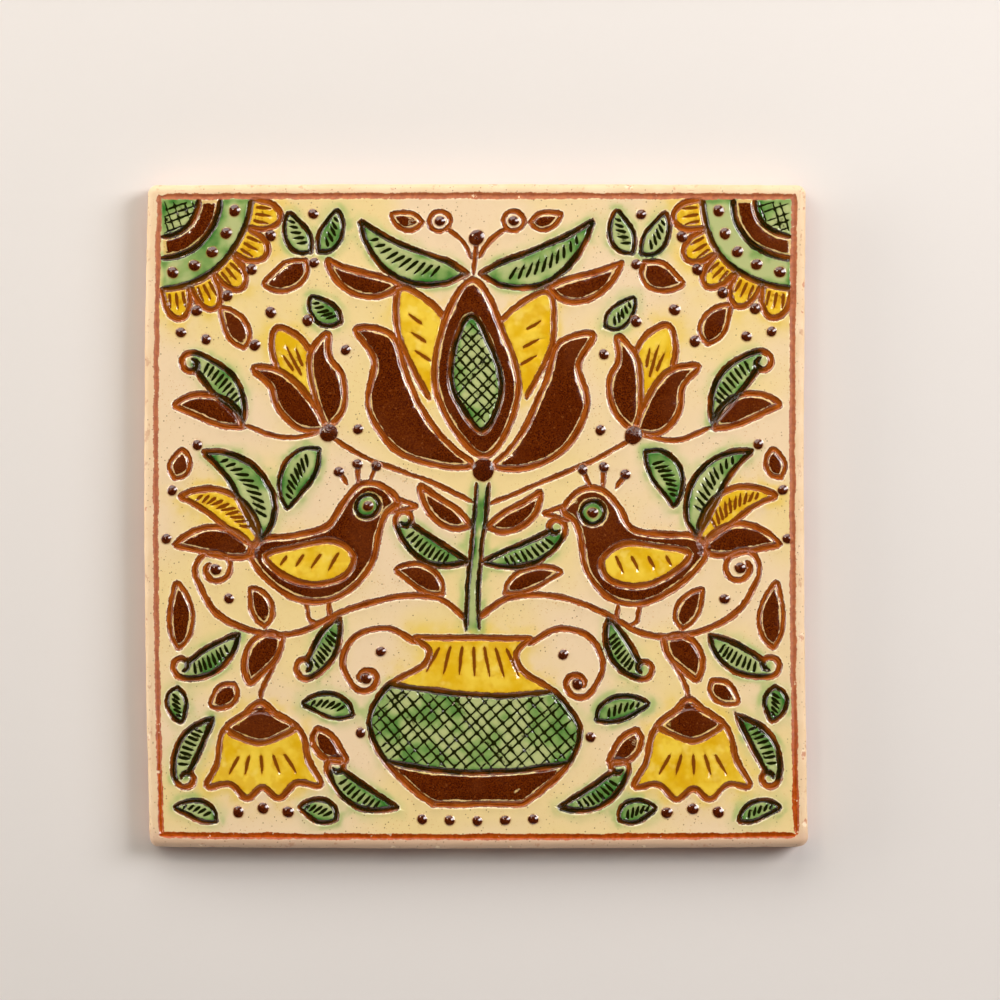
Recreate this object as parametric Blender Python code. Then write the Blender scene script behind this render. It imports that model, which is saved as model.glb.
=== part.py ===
"""A square earthenware wall tile that lies on its back, with a folk picture cut into its face.

The picture is a vase with a flowering tree, two birds, bell flowers and quarter suns. It is drawn
in percent of the framed field, with the origin in its middle, and then moved onto the clay.
"""
import math

import bmesh
import bpy

# Slab, in metres, measured between its corners
TILE_WIDTH = 0.2000
TILE_HEIGHT = 0.2010
TILE_THICKNESS = 0.0100
CORNER_RADIUS = 0.0030
FACE_EDGE_RADIUS = 0.0024
BACK_EDGE_RADIUS = 0.0008

# The sides were cut by hand: how far the middle of each one stands out past its two corners
BOTTOM_BOW = 0.0006
RIGHT_BOW = -0.0009
TOP_BOW = 0.0003
LEFT_BOW = 0.0014
# How far both lower corners lean to the right
LOWER_SHIFT = 0.0006

# Framing line, measured from the tile's edge to the line's middle
BORDER_INSET = 0.0035
BORDER_WIDTH = 0.0018
BORDER_DEPTH = 0.0005
# How far each framing line runs past the corner (positive) or stops before it (negative)
BORDER_OVERRUNS = ((0.0004, -0.0006), (-0.0003, 0.0005), (0.0002, -0.0008), (0.0006, -0.0002))

# Strokes of the drawing
OUTLINE_WIDTH = 0.0018
OUTLINE_DEPTH = 0.0005
STALK_WIDTH = 0.0013
STALK_DEPTH = 0.0004
# The share by which the hand's pressure changes along a stroke, so that no two floors are level
PRESSURE_CHANGE = 0.04
# How far a stroke's facets may stray from the drawn curve
CURVE_TOLERANCE = 0.00045
# How far a cutter reaches above the face
CUTTER_LIFT = 0.00025

# Trailed slip beads
BEAD_RADIUS = 0.0015
BEAD_RISE = 0.0007
BEAD_SIDES = 6
BEAD_RINGS = 4
# How far below the face a bead's widest ring lies
BEAD_SINK = 0.0002

# How near two points are when they are the same point
SAME_POINT = 0.00001
# The angle in radians under which two faces are one flat face
FLAT_ANGLE = 0.001

# Facets
SIDE_STEPS = 6
CORNER_STEPS = 3
FACE_EDGE_STEPS = 3
BACK_EDGE_STEPS = 1

PICTURE_WIDTH = TILE_WIDTH - 2 * BORDER_INSET - BORDER_WIDTH
PICTURE_HEIGHT = TILE_HEIGHT - 2 * BORDER_INSET - BORDER_WIDTH
# Half of the drawing's side, in its own percent
HALF = 50

OUTLINE = (OUTLINE_WIDTH, OUTLINE_DEPTH)
STALK = (STALK_WIDTH, STALK_DEPTH)

GLAZE_COLOUR = (0.88, 0.64, 0.30, 1.0)
GLAZE_ROUGHNESS = 0.16


# Drawing tools, in percent

def flipped(points, side):
    """The points, or their mirror image where side is -1."""
    return [(side * x, y) for x, y in points]


def ring(x, y, radius, steps=12):
    """Points around a full circle."""
    angles = [math.tau * i / steps for i in range(steps)]
    return [(x + radius * math.cos(a), y + radius * math.sin(a)) for a in angles]


def smooth(points, closed=False, steps=4):
    """A Catmull-Rom curve through the points."""
    count = len(points)
    curve = []
    for i in range(count if closed else count - 1):
        picks = [i + k - 1 for k in range(4)]
        near = [points[k % count if closed else min(max(k, 0), count - 1)] for k in picks]
        curve += [spline_point(near, j / steps) for j in range(steps)]
    return curve if closed else curve + [points[-1]]


def spline_point(near, t):
    """The point at t on the Catmull-Rom span between the second and third of four points."""
    weights = (-t + 2 * t ** 2 - t ** 3, 2 - 5 * t ** 2 + 3 * t ** 3,
               t + 4 * t ** 2 - 3 * t ** 3, -t ** 2 + t ** 3)
    return tuple(sum(w * p[axis] for w, p in zip(weights, near)) / 2 for axis in (0, 1))


def bow(base, tip, bend, steps=8):
    """A line from base to tip that swells sideways by bend shares of its length."""
    dx, dy = tip[0] - base[0], tip[1] - base[1]
    pull = ((base[0] + tip[0]) / 2 - 2 * bend * dy, (base[1] + tip[1]) / 2 + 2 * bend * dx)
    line = []
    for i in range(steps + 1):
        t = i / steps
        line.append(tuple((1 - t) ** 2 * a + 2 * t * (1 - t) * c + t ** 2 * b
                          for a, c, b in zip(base, pull, tip)))
    return line


def normals(line):
    """The direction to the left of the line at each of its points."""
    across = []
    for i in range(len(line)):
        before, after = line[max(i - 1, 0)], line[min(i + 1, len(line) - 1)]
        length = math.dist(before, after)
        across.append(((before[1] - after[1]) / length, (after[0] - before[0]) / length))
    return across


def placed(points, x, y, side=1, angle=0.0, scale=1.0):
    """The points turned, scaled, mirrored where side is -1, and moved to x, y."""
    turn_x, turn_y = scale * math.cos(math.radians(angle)), scale * math.sin(math.radians(angle))
    return [(x + side * (px * turn_x - py * turn_y), y + px * turn_y + py * turn_x)
            for px, py in points]


class Drawing:
    """The strokes and beads of the picture."""

    def __init__(self):
        self.strokes = []
        self.beads = []

    def line(self, points, kind=OUTLINE, closed=False):
        self.strokes.append((points, kind, closed))

    def shape(self, points, kind=OUTLINE):
        self.line(points, kind, closed=True)

    def bead(self, point, size=1.0):
        self.beads.append((point, size))

    def stalk_bead(self, start, end, size):
        self.line([start, end], STALK)
        self.bead(end, size)

    def leaf(self, base, tip, width, bend):
        """A pointed leaf, widest past its middle."""
        line = bow(base, tip, bend)
        last = len(line) - 1
        halves = [width / 2 * math.sin(math.pi * (i / last) ** 0.8) ** 0.8 for i in range(1, last)]
        inner = list(zip(line[1:last], normals(line)[1:last], halves))
        left = [(p[0] + n[0] * h, p[1] + n[1] * h) for p, n, h in inner]
        right = [(p[0] - n[0] * h, p[1] - n[1] * h) for p, n, h in inner]
        self.shape([base] + left + [tip] + right[::-1])

    def curl(self, path, radius, turns, side, kind=OUTLINE):
        """A line that winds up at its end, to the left where side is 1. Gives the curl's centre."""
        (ax, ay), (bx, by) = path[-2], path[-1]
        heading = math.atan2(by - ay, bx - ax)
        centre = (bx - side * radius * math.sin(heading), by + side * radius * math.cos(heading))
        start = math.atan2(by - centre[1], bx - centre[0])
        steps = round(turns * 12)
        wound = []
        for i in range(1, steps + 1):
            reach = radius * (1 - 0.6 * i / steps)
            turn = start + side * math.tau * turns * i / steps
            wound.append((centre[0] + reach * math.cos(turn), centre[1] + reach * math.sin(turn)))
        self.line(path + wound, kind)
        return centre

    def horn_leaf(self, base, tip, width, side, radius=1.9):
        """A leaf like a horn, whose back winds up at the tip, to the left where side is 1."""
        bend = -0.22 * side
        centre = self.curl(bow(base, tip, bend), radius, 1.0, side)
        aim = tuple(b + (c - b) * 0.93 for b, c in zip(base, centre))
        self.line(bow(base, aim, bend + 0.62 * side * width / math.dist(base, tip)))

    def berry(self, start, centre, radius, bend):
        """A bead in a ring, on a stalk."""
        share = radius / math.dist(start, centre)
        edge = tuple(c + (s - c) * share for s, c in zip(start, centre))
        self.line(bow(start, edge, bend, 4), STALK)
        self.shape(ring(*centre, radius), STALK)
        self.bead(centre, 0.9)


# Motifs, in percent

def vase(drawing):
    """The two-handled vase that the tree grows from."""
    flank = smooth([(-7.0, -45.6), (-10.5, -43), (-15, -38.5), (-16.8, -33), (-13.5, -27.6),
                    (-8.2, -24.6), (-7.2, -22.0), (-9.6, -19.6)])
    drawing.shape(flank + flipped(flank[::-1], -1))
    for height, sag, reach in ((-27.2, 1.6, 13.0), (-38.8, 1.8, 15.0)):
        drawing.line(bow((-reach, height), (reach, height), -sag / (2 * reach)))
    handle = smooth([(9.3, -20.6), (13.5, -17.8), (18.4, -18.8), (20.4, -23), (18.8, -27)])
    for side in (-1, 1):
        drawing.bead(drawing.curl(flipped(handle, side), 2.4, 1.0, -side))
        drawing.horn_leaf((side * 12.6, -46.0), (side * 24.0, -40.4), 4.2, side, 1.7)


def great_flower(drawing):
    """The large flower on top of the stem."""
    heart = [(0, 8.4), (-4.6, 13.4), (-7.0, 20.6), (-5.0, 28.6), (0, 36.8), (5.0, 28.6),
             (7.0, 20.6), (4.6, 13.4)]
    core = [(0, 12.6), (-2.9, 16.4), (-4.3, 21.0), (-3.0, 26.4), (0, 31.2), (3.0, 26.4),
            (4.3, 21.0), (2.9, 16.4)]
    cup = [(1.6, 7.0), (7.2, 7.2), (13.6, 10.6), (17.2, 17.4), (16.0, 24.0), (19.0, 29.2),
           (13.2, 27.8), (11.2, 21.4), (8.0, 14.4), (4.4, 9.8)]
    petal = [(8.0, 18.2), (10.6, 23.4), (12.4, 28.6), (11.8, 35.4), (6.8, 33.0), (4.4, 30.4)]
    drawing.shape(smooth(heart, closed=True))
    drawing.shape(smooth(core, closed=True))
    drawing.bead((0, 6.4), 2.0)
    for side in (-1, 1):
        drawing.shape(flipped(smooth(cup, closed=True), side))
        drawing.line(flipped(smooth(petal), side))


def flower_spray(drawing):
    """The leaves, berries and bead above the large flower."""
    drawing.stalk_bead((0, 37.4), (0, 43.6), 1.4)
    for side in (-1, 1):
        drawing.leaf((side * 1.0, 37.6), (side * 18.6, 46.6), 5.4, side * -0.14)
        drawing.berry((side * 0.6, 40.2), (side * 5.8, 46.4), 1.7, side * 0.1)
        drawing.leaf((side * 11.6, 36.0), (side * 23.6, 40.6), 3.8, side * -0.14)


def stem(drawing, side):
    """One side of the stem, with a horn leaf and a plain leaf."""
    drawing.line(flipped(smooth([(1.1, -18.8), (0.8, -8), (0.9, 4.4)]), side), STALK)
    drawing.horn_leaf((side * 1.0, -7.4), (side * 13.4, -2.4), 4.8, side, 1.8)
    drawing.leaf((side * 1.2, -2.0), (side * 9.4, 4.0), 3.2, side * -0.12)


def scroll_branch(drawing, side):
    """The low branch that the bird stands on, with the leaves under it."""
    branch = smooth([(1.2, -16.8), (5.6, -13.4), (12, -12.8), (20, -14.8), (27, -17.8),
                     (34, -18.2), (41, -15.4), (44.6, -9.6)])
    drawing.bead(drawing.curl(flipped(branch, side), 3.4, 1.2, side))
    drawing.horn_leaf((side * 21, -15.6), (side * 26.0, -25.0), 5.0, side)
    drawing.leaf((side * 30.4, -18.6), (side * 35.6, -26.0), 4.6, side * 0.14)
    drawing.horn_leaf((side * 37.4, -18.4), (side * 46.4, -25.6), 5.0, side)


def tulip_branch(drawing, side):
    """The high branch with a tulip and two leaves."""
    drawing.line(flipped(smooth([(1.2, 1.4), (9.4, 5.2), (17.5, 9.0), (23.4, 12.6)]), side), STALK)
    drawing.line(flipped(smooth([(25.4, 13.6), (31, 12.6), (37.0, 14.4)]), side), STALK)
    drawing.horn_leaf((side * 37.2, 15.0), (side * 44.6, 26.0), 5.4, -side)
    drawing.leaf((side * 37.6, 14.2), (side * 48.2, 17.4), 4.4, side * 0.14)
    tulip(drawing, side)


def tulip(drawing, side):
    """A tulip of two cup petals and a crown petal between them."""
    def put(points):
        return placed(points, side * 24.2, 13.8, side, -22, 0.80)
    cup = smooth([(0, 0), (-5.2, 2.2), (-7.6, 7.5), (-6.9, 12.2), (-8.6, 17.0), (-3.8, 14.4),
                  (-1.4, 9.6), (0, 3.4)])
    crown = smooth([(-3.9, 14.6), (-3.2, 18.6), (0, 22.5), (3.2, 18.6), (3.9, 14.6)])
    for flip in (1, -1):
        drawing.shape(put(flipped(cup, flip)))
    drawing.line(put(crown))
    for point in put([(0, 25.6), (-6.0, 21.0), (6.0, 21.0)]):
        drawing.bead(point)
    drawing.bead(put([(0, -0.6)])[0], 1.6)


def bird(drawing, side):
    """A bird with a wing, a crest and three tail feathers."""
    def put(points):
        return placed(points, side * -25.0, -5.2, side)
    body = [(12.0, 6.6), (9.2, 9.8), (5.6, 10.2), (2.9, 7.4), (0.6, 3.6), (-4.2, 2.5), (-8.8, 2.2),
            (-11.2, -0.2), (-8.2, -4.6), (-2.4, -8.0), (3.6, -7.6), (7.8, -3.4), (8.8, 1.6),
            (10.0, 5.0)]
    wing = [(5.2, -1.6), (1.8, 1.2), (-3.6, 0.6), (-8.6, -0.6), (-5.4, -4.0), (-0.6, -5.6),
            (4.0, -4.6)]
    eye = (6.9, 6.4)
    drawing.shape(put(smooth(body, closed=True)))
    drawing.shape(put(smooth(wing, closed=True)))
    drawing.shape(put(ring(*eye, 2.0)), STALK)
    drawing.bead(put([eye])[0], 0.9)
    drawing.line(put([(11.4, 7.4), (15.4, 5.8), (10.6, 5.0)]), STALK)
    crest = (((3.5, 10.4), (2.2, 12.6)), ((5.4, 10.4), (5.4, 13.6)), ((7.3, 10.4), (8.6, 13.0)))
    for root, tip in crest:
        drawing.stalk_bead(*put([root, tip]), 0.9)
    for x in (-1.4, 2.2):
        drawing.line(put([(x, -8.2), (x + 0.5, -11.0), (x + 2.0, -11.4)]), STALK)
    feathers = (((-9.2, 1.9), (-18.6, 15.4), -0.20, 5.2), ((-9.9, 0.9), (-22.4, 8.2), -0.18, 5.0),
                ((-10.3, -0.3), (-23.2, 0.6), -0.12, 4.6))
    for root, tip, bend, width in feathers:
        drawing.leaf(*put([root, tip]), width, side * bend)
        drawing.bead(put([(tip[0] * 1.045, tip[1] + 1.0)])[0], 0.9)


def bell_flower(drawing, side):
    """A hanging bell flower with a leaf on either side."""
    def put(points):
        return placed(points, side * 34.0, -38.0, side)
    skirt_half = [(-2.0, 7.6), (-6.0, 4.4), (-7.2, -0.6), (-9.2, -4.6), (-5.4, -4.0), (-2.6, -6.6)]
    skirt = skirt_half + [(0, -4.6)] + flipped(skirt_half[::-1], -1)
    cap = [(-5.4, 5.2), (-2.6, 7.2), (0, 9.4), (2.6, 7.2), (5.4, 5.2), (2.6, 3.4), (0, 2.6),
           (-2.6, 3.4)]
    drawing.shape(put(smooth(skirt, closed=True)))
    drawing.shape(put(smooth(cap, closed=True)))
    drawing.line(put(smooth([(0, 9.6), (-0.6, 12.0), (-2.4, 15.6)])), STALK)
    for point in put([(-4.0, -8.6), (0, -8.0), (4.0, -8.6)]):
        drawing.bead(point)
    drawing.horn_leaf(*put([(7.4, 6.6), (14.0, -3.4)]), 4.4, -side, 1.7)
    drawing.leaf(*put([(-8.6, 4.6), (-13.2, -0.8)]), 3.4, side * 0.12)


def quarter_sun(drawing, side):
    """Rings, beads and petals around an upper corner of the frame."""
    def around(radius, angle):
        turn = math.radians(180 + angle)
        return (side * (HALF + radius * math.cos(turn)), HALF + radius * math.sin(turn))
    for radius in (6.0, 9.4, 14.2):
        drawing.line([around(radius, 9 * i) for i in range(11)])
    petals = 5
    span = 90 / petals
    for i in range(petals):
        swell = [14.2 + 5.0 * math.sin(math.pi * k / 10) ** 0.5 for k in range(11)]
        drawing.line([around(radius, span * (i + k / 10)) for k, radius in enumerate(swell)])
        drawing.bead(around(11.8, span * (i + 0.5)))
    for i in range(1, petals):
        drawing.bead(around(18.4, span * i))


def picture():
    """The whole drawing."""
    drawing = Drawing()
    vase(drawing)
    great_flower(drawing)
    flower_spray(drawing)
    for side in (-1, 1):
        for motif in (stem, scroll_branch, tulip_branch, bird, bell_flower, quarter_sun):
            motif(drawing, side)
    return drawing


def on_clay(point):
    """A drawn point in metres, moved a little as a hand does, so the halves aren't exact mirrors."""
    x, y = point
    room = 1 - min(1, max(abs(x), abs(y)) / HALF) ** 4
    x_drift = 0.7 * math.sin(0.11 * y + 0.9) + 0.35 * math.sin(0.23 * x + 0.16 * y)
    y_drift = 0.6 * math.sin(0.10 * x + 2.1) + 0.35 * math.sin(0.21 * y - 0.13 * x)
    return ((x + room * x_drift) * PICTURE_WIDTH / (2 * HALF),
            (y + room * y_drift) * PICTURE_HEIGHT / (2 * HALF))


def simplified(points, tolerance):
    """The points of an open line that keep it within the tolerance (Douglas-Peucker)."""
    (ax, ay), (bx, by) = points[0], points[-1]
    length = math.dist(points[0], points[-1])
    gaps = [abs((bx - ax) * (ay - y) - (ax - x) * (by - ay)) / length if length
            else math.dist((x, y), points[0]) for x, y in points[1:-1]]
    if not gaps or max(gaps) <= tolerance:
        return [points[0], points[-1]]
    split = gaps.index(max(gaps)) + 1
    return simplified(points[:split + 1], tolerance)[:-1] + simplified(points[split:], tolerance)


# Slab and framing lines, in metres

def corners(inset):
    """The corners of the tile, or of a line inside it, from the lower left and anticlockwise."""
    half_width, half_height = TILE_WIDTH / 2 - inset, TILE_HEIGHT / 2 - inset
    return [(-half_width + LOWER_SHIFT, -half_height), (half_width + LOWER_SHIFT, -half_height),
            (half_width, half_height), (-half_width, half_height)]


def side_line(side, inset, overruns=(0, 0)):
    """Points along one side of the tile, or along a line inside it; side counts from the bottom."""
    around = corners(inset)
    start, end = around[side], around[(side + 1) % 4]
    stand_out = (BOTTOM_BOW, RIGHT_BOW, TOP_BOW, LEFT_BOW)[side]
    length = math.dist(start, end)
    along = ((end[0] - start[0]) / length, (end[1] - start[1]) / length)
    line = []
    for i in range(SIDE_STEPS + 1):
        share = i / SIDE_STEPS
        run = -overruns[0] + (length + overruns[0] + overruns[1]) * share
        out = stand_out * (1 - (2 * share - 1) ** 2)
        line.append((start[0] + along[0] * run + along[1] * out, start[1] + along[1] * run - along[0] * out))
    return line


def mesh_from_curve(curve, name):
    """A closed mesh object made from a curve object, which is removed."""
    evaluated = curve.evaluated_get(bpy.context.evaluated_depsgraph_get())
    mesh = bpy.data.meshes.new_from_object(evaluated)
    matrix = curve.matrix_world.copy()
    data = curve.data
    bpy.data.objects.remove(curve)
    bpy.data.curves.remove(data)
    work = bmesh.new()
    work.from_mesh(mesh)
    bmesh.ops.remove_doubles(work, verts=work.verts, dist=SAME_POINT)
    work.transform(matrix)
    bmesh.ops.recalc_face_normals(work, faces=work.faces)
    work.to_mesh(mesh)
    work.free()
    return bpy.data.objects.new(name, mesh)


def poly_curve(points, closed, dimensions):
    """A curve object with one straight-sided spline, linked so that it can be evaluated."""
    curve = bpy.data.curves.new("outline", "CURVE")
    curve.dimensions = dimensions
    spline = curve.splines.new("POLY")
    spline.points.add(len(points) - 1)
    for control, (x, y) in zip(spline.points, points):
        control.co = (x, y, 0, 1)
    spline.use_cyclic_u = closed
    curve_object = bpy.data.objects.new("outline", curve)
    bpy.context.scene.collection.objects.link(curve_object)
    return curve_object


def rounded(mesh, is_edge, radius, steps):
    """Bevels the edges that is_edge picks."""
    work = bmesh.new()
    work.from_mesh(mesh)
    bmesh.ops.dissolve_limit(work, angle_limit=FLAT_ANGLE, verts=work.verts, edges=work.edges)
    edges = [edge for edge in work.edges if is_edge(edge)]
    bmesh.ops.bevel(work, geom=edges, offset=radius, offset_type="OFFSET", segments=steps,
                    profile=0.5, affect="EDGES", clamp_overlap=False)
    work.to_mesh(mesh)
    work.free()


def make_slab():
    """The plain tile: its outline extruded, with round corners and edges, its back at height 0."""
    outline = [point for side in range(4) for point in side_line(side, 0)[:-1]]
    flat = poly_curve(outline, True, "2D")
    flat.data.fill_mode = "BOTH"
    flat.data.extrude = TILE_THICKNESS / 2
    flat.location.z = TILE_THICKNESS / 2
    bpy.context.view_layer.update()
    slab = mesh_from_curve(flat, "tile")

    def at_height(edge, height):
        return all(abs(vert.co.z - height) < SAME_POINT for vert in edge.verts)

    def is_corner(edge):
        low, high = sorted(vert.co.z for vert in edge.verts)
        upright = high - low > TILE_THICKNESS / 2
        return upright and any(math.dist(edge.verts[0].co.xy, corner) < SAME_POINT for corner in corners(0))

    def is_rim(edge, height):
        return at_height(edge, height) and any(abs(face.normal.z) < 0.5 for face in edge.link_faces)

    rounded(slab.data, is_corner, CORNER_RADIUS, CORNER_STEPS)
    rounded(slab.data, lambda edge: is_rim(edge, TILE_THICKNESS), FACE_EDGE_RADIUS, FACE_EDGE_STEPS)
    rounded(slab.data, lambda edge: is_rim(edge, 0), BACK_EDGE_RADIUS, BACK_EDGE_STEPS)
    return slab


def groove_cutter(points, kind, closed, number):
    """A bar with a V below, which cuts one stroke of the given width and depth into the face."""
    width, depth = kind
    slope = depth / (width / 2)
    bar = poly_curve(points, closed, "3D")
    for i, control in enumerate(bar.data.splines[0].points):
        control.radius = 1 + PRESSURE_CHANGE * math.sin(2.4 * i + number)
    bar.data.twist_mode = "Z_UP"
    bar.data.bevel_depth = (depth + CUTTER_LIFT) / slope
    bar.data.bevel_resolution = 0
    bar.data.use_fill_caps = True
    bar.location.z = TILE_THICKNESS + CUTTER_LIFT
    bar.scale.z = slope
    bpy.context.view_layer.update()
    return mesh_from_curve(bar, "stroke_cutter")


def bead_dome(point, size):
    """A low dome of trailed slip, sunk a little into the face."""
    mesh = bpy.data.meshes.new("bead_dome")
    work = bmesh.new()
    bmesh.ops.create_uvsphere(work, u_segments=BEAD_SIDES, v_segments=BEAD_RINGS, radius=1)
    radius = BEAD_RADIUS * size
    bmesh.ops.scale(work, vec=(radius, radius, BEAD_RISE + BEAD_SINK), verts=work.verts)
    work.to_mesh(mesh)
    work.free()
    dome = bpy.data.objects.new("bead_dome", mesh)
    dome.location = (*on_clay(point), TILE_THICKNESS - BEAD_SINK)
    return dome


def tool_collection(name, tools):
    """A collection of Boolean operands that show as wires and don't render."""
    collection = bpy.data.collections.new(name)
    bpy.context.scene.collection.children.link(collection)
    for tool in tools:
        tool.hide_render = True
        tool.display_type = "WIRE"
        collection.objects.link(tool)
    return collection


def add_boolean(tile, collection, operation, solver):
    """Adds a Boolean with every object of the collection."""
    modifier = tile.modifiers.new(operation.lower(), "BOOLEAN")
    modifier.operation = operation
    modifier.operand_type = "COLLECTION"
    modifier.collection = collection
    modifier.solver = solver


def glaze_material():
    """The cream glaze that covers most of the tile."""
    material = bpy.data.materials.new("cream_glaze")
    material.use_nodes = True
    shader = material.node_tree.nodes["Principled BSDF"]
    shader.inputs["Base Color"].default_value = GLAZE_COLOUR
    shader.inputs["Roughness"].default_value = GLAZE_ROUGHNESS
    shader.inputs["Metallic"].default_value = 0.0
    return material


def make_tile():
    """The finished tile: the slab with its strokes cut in and its beads joined on."""
    drawing = picture()
    tile = make_slab()
    tile.data.materials.clear()
    tile.data.materials.append(glaze_material())
    tile.data.shade_smooth()
    tile.data.set_sharp_from_angle(angle=math.radians(30))
    cutters = []
    for number, (points, kind, closed) in enumerate(drawing.strokes):
        line = [on_clay(point) for point in (points + points[:1] if closed else points)]
        line = simplified(line, CURVE_TOLERANCE)
        cutters.append(groove_cutter(line[:-1] if closed else line, kind, closed, number))
    for side in range(4):
        line = side_line(side, BORDER_INSET, BORDER_OVERRUNS[side])
        cutters.append(groove_cutter(line, (BORDER_WIDTH, BORDER_DEPTH), False, side))
    add_boolean(tile, tool_collection("stroke_cutters", cutters), "DIFFERENCE", "EXACT")
    domes = [bead_dome(point, size) for point, size in drawing.beads]
    # The exact solver leaves this union open where strokes cross under a bead
    add_boolean(tile, tool_collection("beads", domes), "UNION", "MANIFOLD")
    parts = bpy.data.collections.new("decorative_ceramic_tile")
    bpy.context.scene.collection.children.link(parts)
    parts.objects.link(tile)


def clear_scene():
    for item in list(bpy.data.objects):
        bpy.data.objects.remove(item)


clear_scene()
make_tile()
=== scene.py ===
"""Looks of the decorative ceramic tile: the cut and trailed relief, the glazes and the bare clay."""
import math

import bpy
import numpy as np
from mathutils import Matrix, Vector
from mathutils.geometry import delaunay_2d_cdt


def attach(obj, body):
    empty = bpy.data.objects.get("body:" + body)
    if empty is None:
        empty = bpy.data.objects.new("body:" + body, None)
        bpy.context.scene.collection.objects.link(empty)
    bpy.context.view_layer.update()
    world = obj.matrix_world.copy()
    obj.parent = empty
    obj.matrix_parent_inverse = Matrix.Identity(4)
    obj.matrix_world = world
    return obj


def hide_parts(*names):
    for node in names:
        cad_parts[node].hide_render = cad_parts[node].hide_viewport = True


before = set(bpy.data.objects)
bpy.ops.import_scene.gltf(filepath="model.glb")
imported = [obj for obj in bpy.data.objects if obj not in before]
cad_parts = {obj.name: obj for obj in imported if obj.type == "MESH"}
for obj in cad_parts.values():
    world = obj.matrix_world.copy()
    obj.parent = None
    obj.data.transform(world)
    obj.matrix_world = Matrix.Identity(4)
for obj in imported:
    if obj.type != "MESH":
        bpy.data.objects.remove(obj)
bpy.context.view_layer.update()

# Lengths are in millimetres, and the finished mesh is scaled to metres
METRE = 1000.0

# Slab
TILE_WIDTH = 200.0
TILE_HEIGHT = 201.0
TILE_THICKNESS = 10.0
CORNER_RADIUS = 3.0
FACE_EDGE_RADIUS = 2.4
BACK_EDGE_RADIUS = 0.8
BOWS = (0.6, -0.9, 0.3, 1.4)
LOWER_SHIFT = 0.6
EDGE_WOBBLE = 0.12
EDGE_WAVES = ((1, 31), (0.4, 9))
SIDE_ROUGHNESS = 0.06

# Framing line
BORDER_INSET = 3.8
BORDER_WIDTHS = (1.9, 1.85, 1.85, 1.6)
BORDER_DEPTH = 0.3
BORDER_OVERRUNS = ((0.4, -0.6), (-0.3, 0.5), (0.2, -0.8), (0.6, -0.2))
# The number of its first line among the strokes, which sets how the hand shakes
BORDER_NUMBER = 900

# Strokes: width and depth
OUTLINE = (2.1, 0.45)
STALK = (1.65, 0.38)
DASH = (1.05, 0.27)
HATCH = (0.62, 0.11)
# Where the wall of a cut starts and ends, in shares of its half width
WALLS = {"outline": (0.48, 1.06), "border": (0.25, 1.12), "fine": (0.1, 1.08)}
FLOOR_RISE = 0.14
END_TAPER = 1.5
LINE_STEP = 0.9
DASH_STEP = 0.5
# Length between the starts of two lines in the run that the glaze varies along
RUN_SHIFT = 37.0

# How the hand shakes and presses: strengths and lengths of the waves
SHAKE = ((0.10, 13), (0.045, 4.5))
PRESS = ((0.12, 17), (0.06, 5))
HATCH_PRESS = ((0.22, 7), (0.14, 2.5))

# Crossed hatching: turn between its two sets, stray of a line in gaps, steps, least points
HATCH_TURN = 88
HATCH_STRAY = 0.24
HATCH_LINE_STEP = 0.35
HATCH_STROKE_STEP = 0.75
HATCH_LEAST = 6
# Range of the space between the hatching and the outline
HATCH_CLEARANCE = (0.75, 1.1)

# Short marks on a leaf, for each that its drawing asks for
MARK_DENSITY = 1.3

COLOURS = ("brown", "green", "yellow")
BEAD_RADIUS = 1.7
BEAD_RISE = 0.7
BEAD_BULGE = 0.05
BEAD_SPREAD = 1.12
BURR_HEIGHT = 0.08
BURR_OFFSET = 0.26
BURR_WIDTH = 0.2
SLIP_RISE = 0.16
SLIP_INSET = 1.32
HOLE_SWELL = 0.35
PILLOW_RISE = 0.07
WAVE_HEIGHT = 0.045
# The face rolls down towards its edge, with small lumps
ROLL_DEPTH = 0.16
LUMP_HEIGHT = 0.012
GLAZE_IOR = 1.72

FIELD_INSET = 4.4
PICTURE_WIDTH = TILE_WIDTH - 2 * FIELD_INSET
PICTURE_HEIGHT = TILE_HEIGHT - 2 * FIELD_INSET
HALF = 50

# Steps along each side of the tile, and around each of its corners
RIM_STEPS = 186
CORNER_STEPS = 5

# Rings of the rounded edge that are mapped flat together with the face
PLANAR_RINGS = 4

# Values of a signed distance far outside the areas, and outside the strokes and beads
FAR = -12.0
UNTOUCHED = -2.0


# Drawing tools, in percent of the framed field

def flipped(points, side):
    """The points, or their mirror image where side is -1."""
    return [(side * x, y) for x, y in points]


def ring(x, y, radius, steps=12):
    """Points around a full circle."""
    angles = [math.tau * i / steps for i in range(steps)]
    return [(x + radius * math.cos(a), y + radius * math.sin(a)) for a in angles]


def smooth(points, closed=False, steps=4):
    """A Catmull-Rom curve through the points."""
    count = len(points)
    curve = []
    for i in range(count if closed else count - 1):
        picks = [i + k - 1 for k in range(4)]
        near = [points[k % count if closed else min(max(k, 0), count - 1)] for k in picks]
        curve += [spline_point(near, j / steps) for j in range(steps)]
    return curve if closed else curve + [points[-1]]


def spline_point(near, t):
    """The point at t on the Catmull-Rom span between the second and third of four points."""
    weights = (-t + 2 * t ** 2 - t ** 3, 2 - 5 * t ** 2 + 3 * t ** 3,
               t + 4 * t ** 2 - 3 * t ** 3, -t ** 2 + t ** 3)
    return tuple(sum(w * p[axis] for w, p in zip(weights, near)) / 2 for axis in (0, 1))


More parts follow.
